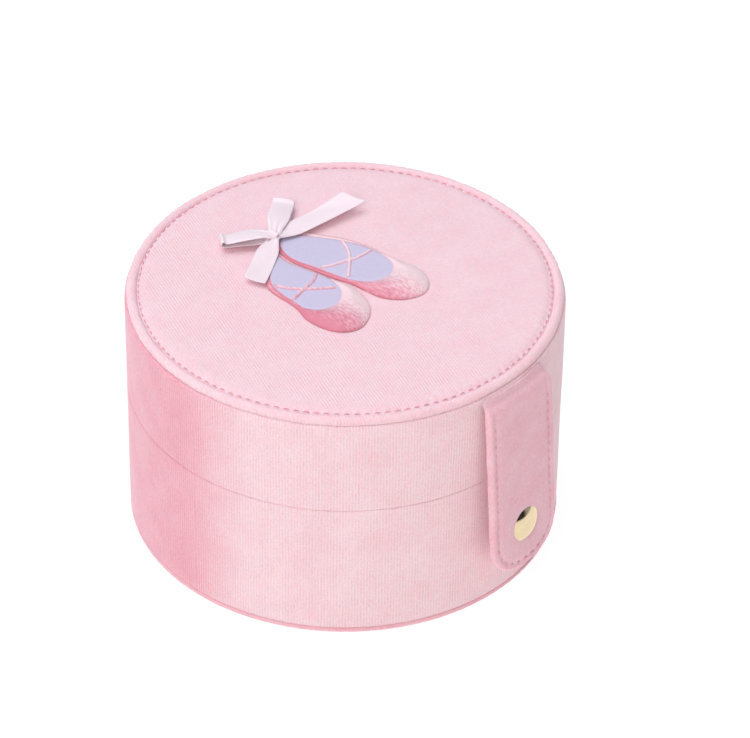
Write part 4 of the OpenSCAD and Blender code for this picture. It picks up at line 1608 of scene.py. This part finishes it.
@dataclass
class HingeTape:
    """The strip of velvet across the back that the lid turns on."""

    size: CaseSizes
    joint: Vector
    thickness: float = 0.5 * MM
    columns: int = 48
    rows: int = 48

    def build(self) -> None:
        """Builds the tape and its two rows of stitches."""
        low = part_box("base_hinge_tape")[0]
        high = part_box("lid_hinge_tape")[1]
        reach = math.asin(high.x / (self.size.wall_r + self.thickness))
        outer = self.size.wall_r + self.thickness
        middle, half = (low.z + high.z) / 2, (high.z - low.z) / 2
        deselect()
        bpy.ops.mesh.primitive_grid_add(x_subdivisions=self.columns, y_subdivisions=self.rows, size=2)
        obj = named("hinge_tape_velvet")

        def wrap(place: Vector) -> Vector:
            angle = math.pi / 2 + reach * place.x
            edge = max(abs(place.x), abs(place.y))
            radius = outer - 0.3 * MM * edge ** 12
            return Vector((radius * math.cos(angle), radius * math.sin(angle), middle + half * place.y))

        reshape(obj, wrap)
        lay_uv(obj, round_chart(outer))
        with editing(obj):
            bpy.ops.mesh.normals_make_consistent(inside=False)
        if obj.data.polygons[0].normal.y < 0:
            obj.data.flip_normals()
        modify(obj, "SOLIDIFY", thickness=self.thickness - 0.1 * MM, offset=-1.0)
        dress(smooth(obj, 60), WALL_VELVET)
        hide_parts("base_hinge_tape", "lid_hinge_tape")
        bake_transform(obj)
        self.row("base_tape_stitches", Body.BASE, low.z + 1.6 * MM, reach, outer)
        self.row("lid_tape_stitches", Body.LID, high.z - 1.6 * MM, reach, outer)

    def row(self, name: str, body: Body, height: float, reach: float, radius: float) -> None:
        """One row of stitches across the tape.

        Args:
            name: The piece's name.
            body: The body that it rides on.
            height: Height of the row.
            reach: Half the tape's angle, in radians.
            radius: Radius of the tape's outer face.
        """
        pattern = Stitch(length=2.6 * MM, radius=0.2 * MM, dip=0.3 * MM).pattern()
        count = int((2 * reach - 0.06) * radius / (3.4 * MM))
        outwards = Matrix.Rotation(math.pi / 2, 4, "X")
        places = []
        for i in range(count):
            angle = math.pi + (2 * (i + 0.5) / count - 1) * (reach - 0.03)
            places.append(Matrix.Rotation(angle, 4, "Z")
                          @ Matrix.Translation((0, -radius, height)) @ outwards)
        obj = copies(name, pattern, places)
        dress(obj, SEAM_THREAD)
        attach(obj, body.value)


# ---------------------------------------------------------------- studio


@dataclass
class Studio:
    """A white table, a soft key light from the upper left, a wide top light and a weak warm fill."""

    azimuth: float = math.radians(-48.4)
    elevation: float = math.radians(37.9)
    distance: float = 1.093
    lens: float = 194.6
    roll: float = math.radians(0.8)
    centre: tuple[float, float, float] = (0.0, 0.0, 0.0356)
    aim_right: float = 8.2 * MM
    aim_up: float = 5.9 * MM
    dark_end: tuple[float, float, float] = (-0.12, -0.96, 0.24)

    def build(self) -> None:
        """Sets the camera, the lights, the table and the surroundings."""
        self.camera()
        self.table()
        self.light("key", (-0.93, -0.38, 0.82), (0.5, 0.5), 5.4, "#fff4ee")
        self.light("top", (-0.1, 0.25, 1.3), (1.2, 1.2), 10.0, "#fbf9ff")
        fill = self.light("fill", (-0.1, -1.25, 0.3), (0.6, 0.6), 1.4, "#ffc9bd")
        fill.visible_glossy = False
        self.surroundings()

    def camera(self) -> None:
        """The camera at the case's three-quarter view from above."""
        a, e = self.azimuth, self.elevation
        back = Vector((math.sin(a) * math.cos(e), -math.cos(a) * math.cos(e), math.sin(e)))
        right = Vector((math.cos(a), math.sin(a), 0))
        up = back.cross(right)
        place = Vector(self.centre) + back * self.distance
        aim = Vector(self.centre) + right * self.aim_right + up * self.aim_up
        data = bpy.data.cameras.new("camera")
        data.lens = self.lens
        data.clip_start = 0.05
        obj = bpy.data.objects.new("camera", data)
        obj.location = place
        turned = (aim - place).to_track_quat("-Z", "Y").to_matrix() @ Matrix.Rotation(self.roll, 3, "Z")
        obj.rotation_euler = turned.to_euler()
        bpy.context.scene.collection.objects.link(obj)
        bpy.context.scene.camera = obj

    def light(self, name: str, place: tuple[float, float, float], size: tuple[float, float], power: float,
              colour: str) -> bpy.types.Object:
        """One soft rectangular light, aimed at the case.

        Args:
            name: The light's name.
            place: Where it stands.
            size: Its width and height.
            power: Its power in watts.
            colour: Its sRGB hex colour.

        Returns:
            The light.
        """
        data = bpy.data.lights.new(name, "AREA")
        data.shape = "RECTANGLE"
        data.size, data.size_y = size
        data.energy = power
        data.color = linear(colour)[:3]
        obj = bpy.data.objects.new(name, data)
        obj.location = place
        obj.rotation_euler = (Vector(self.centre) - Vector(place)).to_track_quat("-Z", "Y").to_euler()
        bpy.context.scene.collection.objects.link(obj)
        return obj

    def table(self) -> None:
        """A plain white table top."""
        deselect()
        bpy.ops.mesh.primitive_plane_add(size=8)
        obj = named("table")
        material = bpy.data.materials.new("white_table")
        material.use_nodes = True
        surface = material.node_tree.nodes["Principled BSDF"]
        adjust(surface, {"Base Color": linear("#8f8f8f"), "Roughness": 1.0, "Specular IOR Level": 0.0,
                         "Emission Color": linear("#ffffff"), "Emission Strength": 0.85})
        obj.data.materials.append(material)

    def surroundings(self) -> None:
        """Even light from all round, a little cooler than the key, with a dark end to the room in front."""
        scene = bpy.context.scene
        scene.view_settings.view_transform = "Standard"
        world = bpy.data.worlds.new("white_room")
        world.use_nodes = True
        tree = world.node_tree
        heading = add(tree, "ShaderNodeTexCoord").outputs["Generated"]
        towards = add(tree, "ShaderNodeVectorMath", {0: heading, 1: self.dark_end}, operation="DOT_PRODUCT")
        light = add(tree, "ShaderNodeMapRange",
                    {0: towards.outputs["Value"], 1: 0.72, 2: 0.86, 3: 0.42, 4: 0.03},
                    interpolation_type="SMOOTHSTEP")
        background = tree.nodes["Background"]
        background.inputs["Color"].default_value = linear("#f6f5ff")
        tree.links.new(light.outputs[0], background.inputs["Strength"])
        scene.world = world


def main() -> None:
    """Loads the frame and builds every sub-assembly."""
    logging.basicConfig(level=logging.INFO, format="%(name)s %(message)s")
    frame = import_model()
    joints = {joint["name"]: Vector(joint["pos_m"]) for joint in frame["joints"]}
    size = CaseSizes.from_frame()
    Studio().build()
    BaseShell(size).build()
    BaseFitting(size).build()
    LidShell(size).build()
    Slippers().build()
    Bow().build()
    strap = Strap(size, joints["strap_hinge"])
    strap.build()
    Snap(strap).build()
    HingeTape(size, joints["lid_hinge"]).build()


if __name__ == "__main__":
    main()
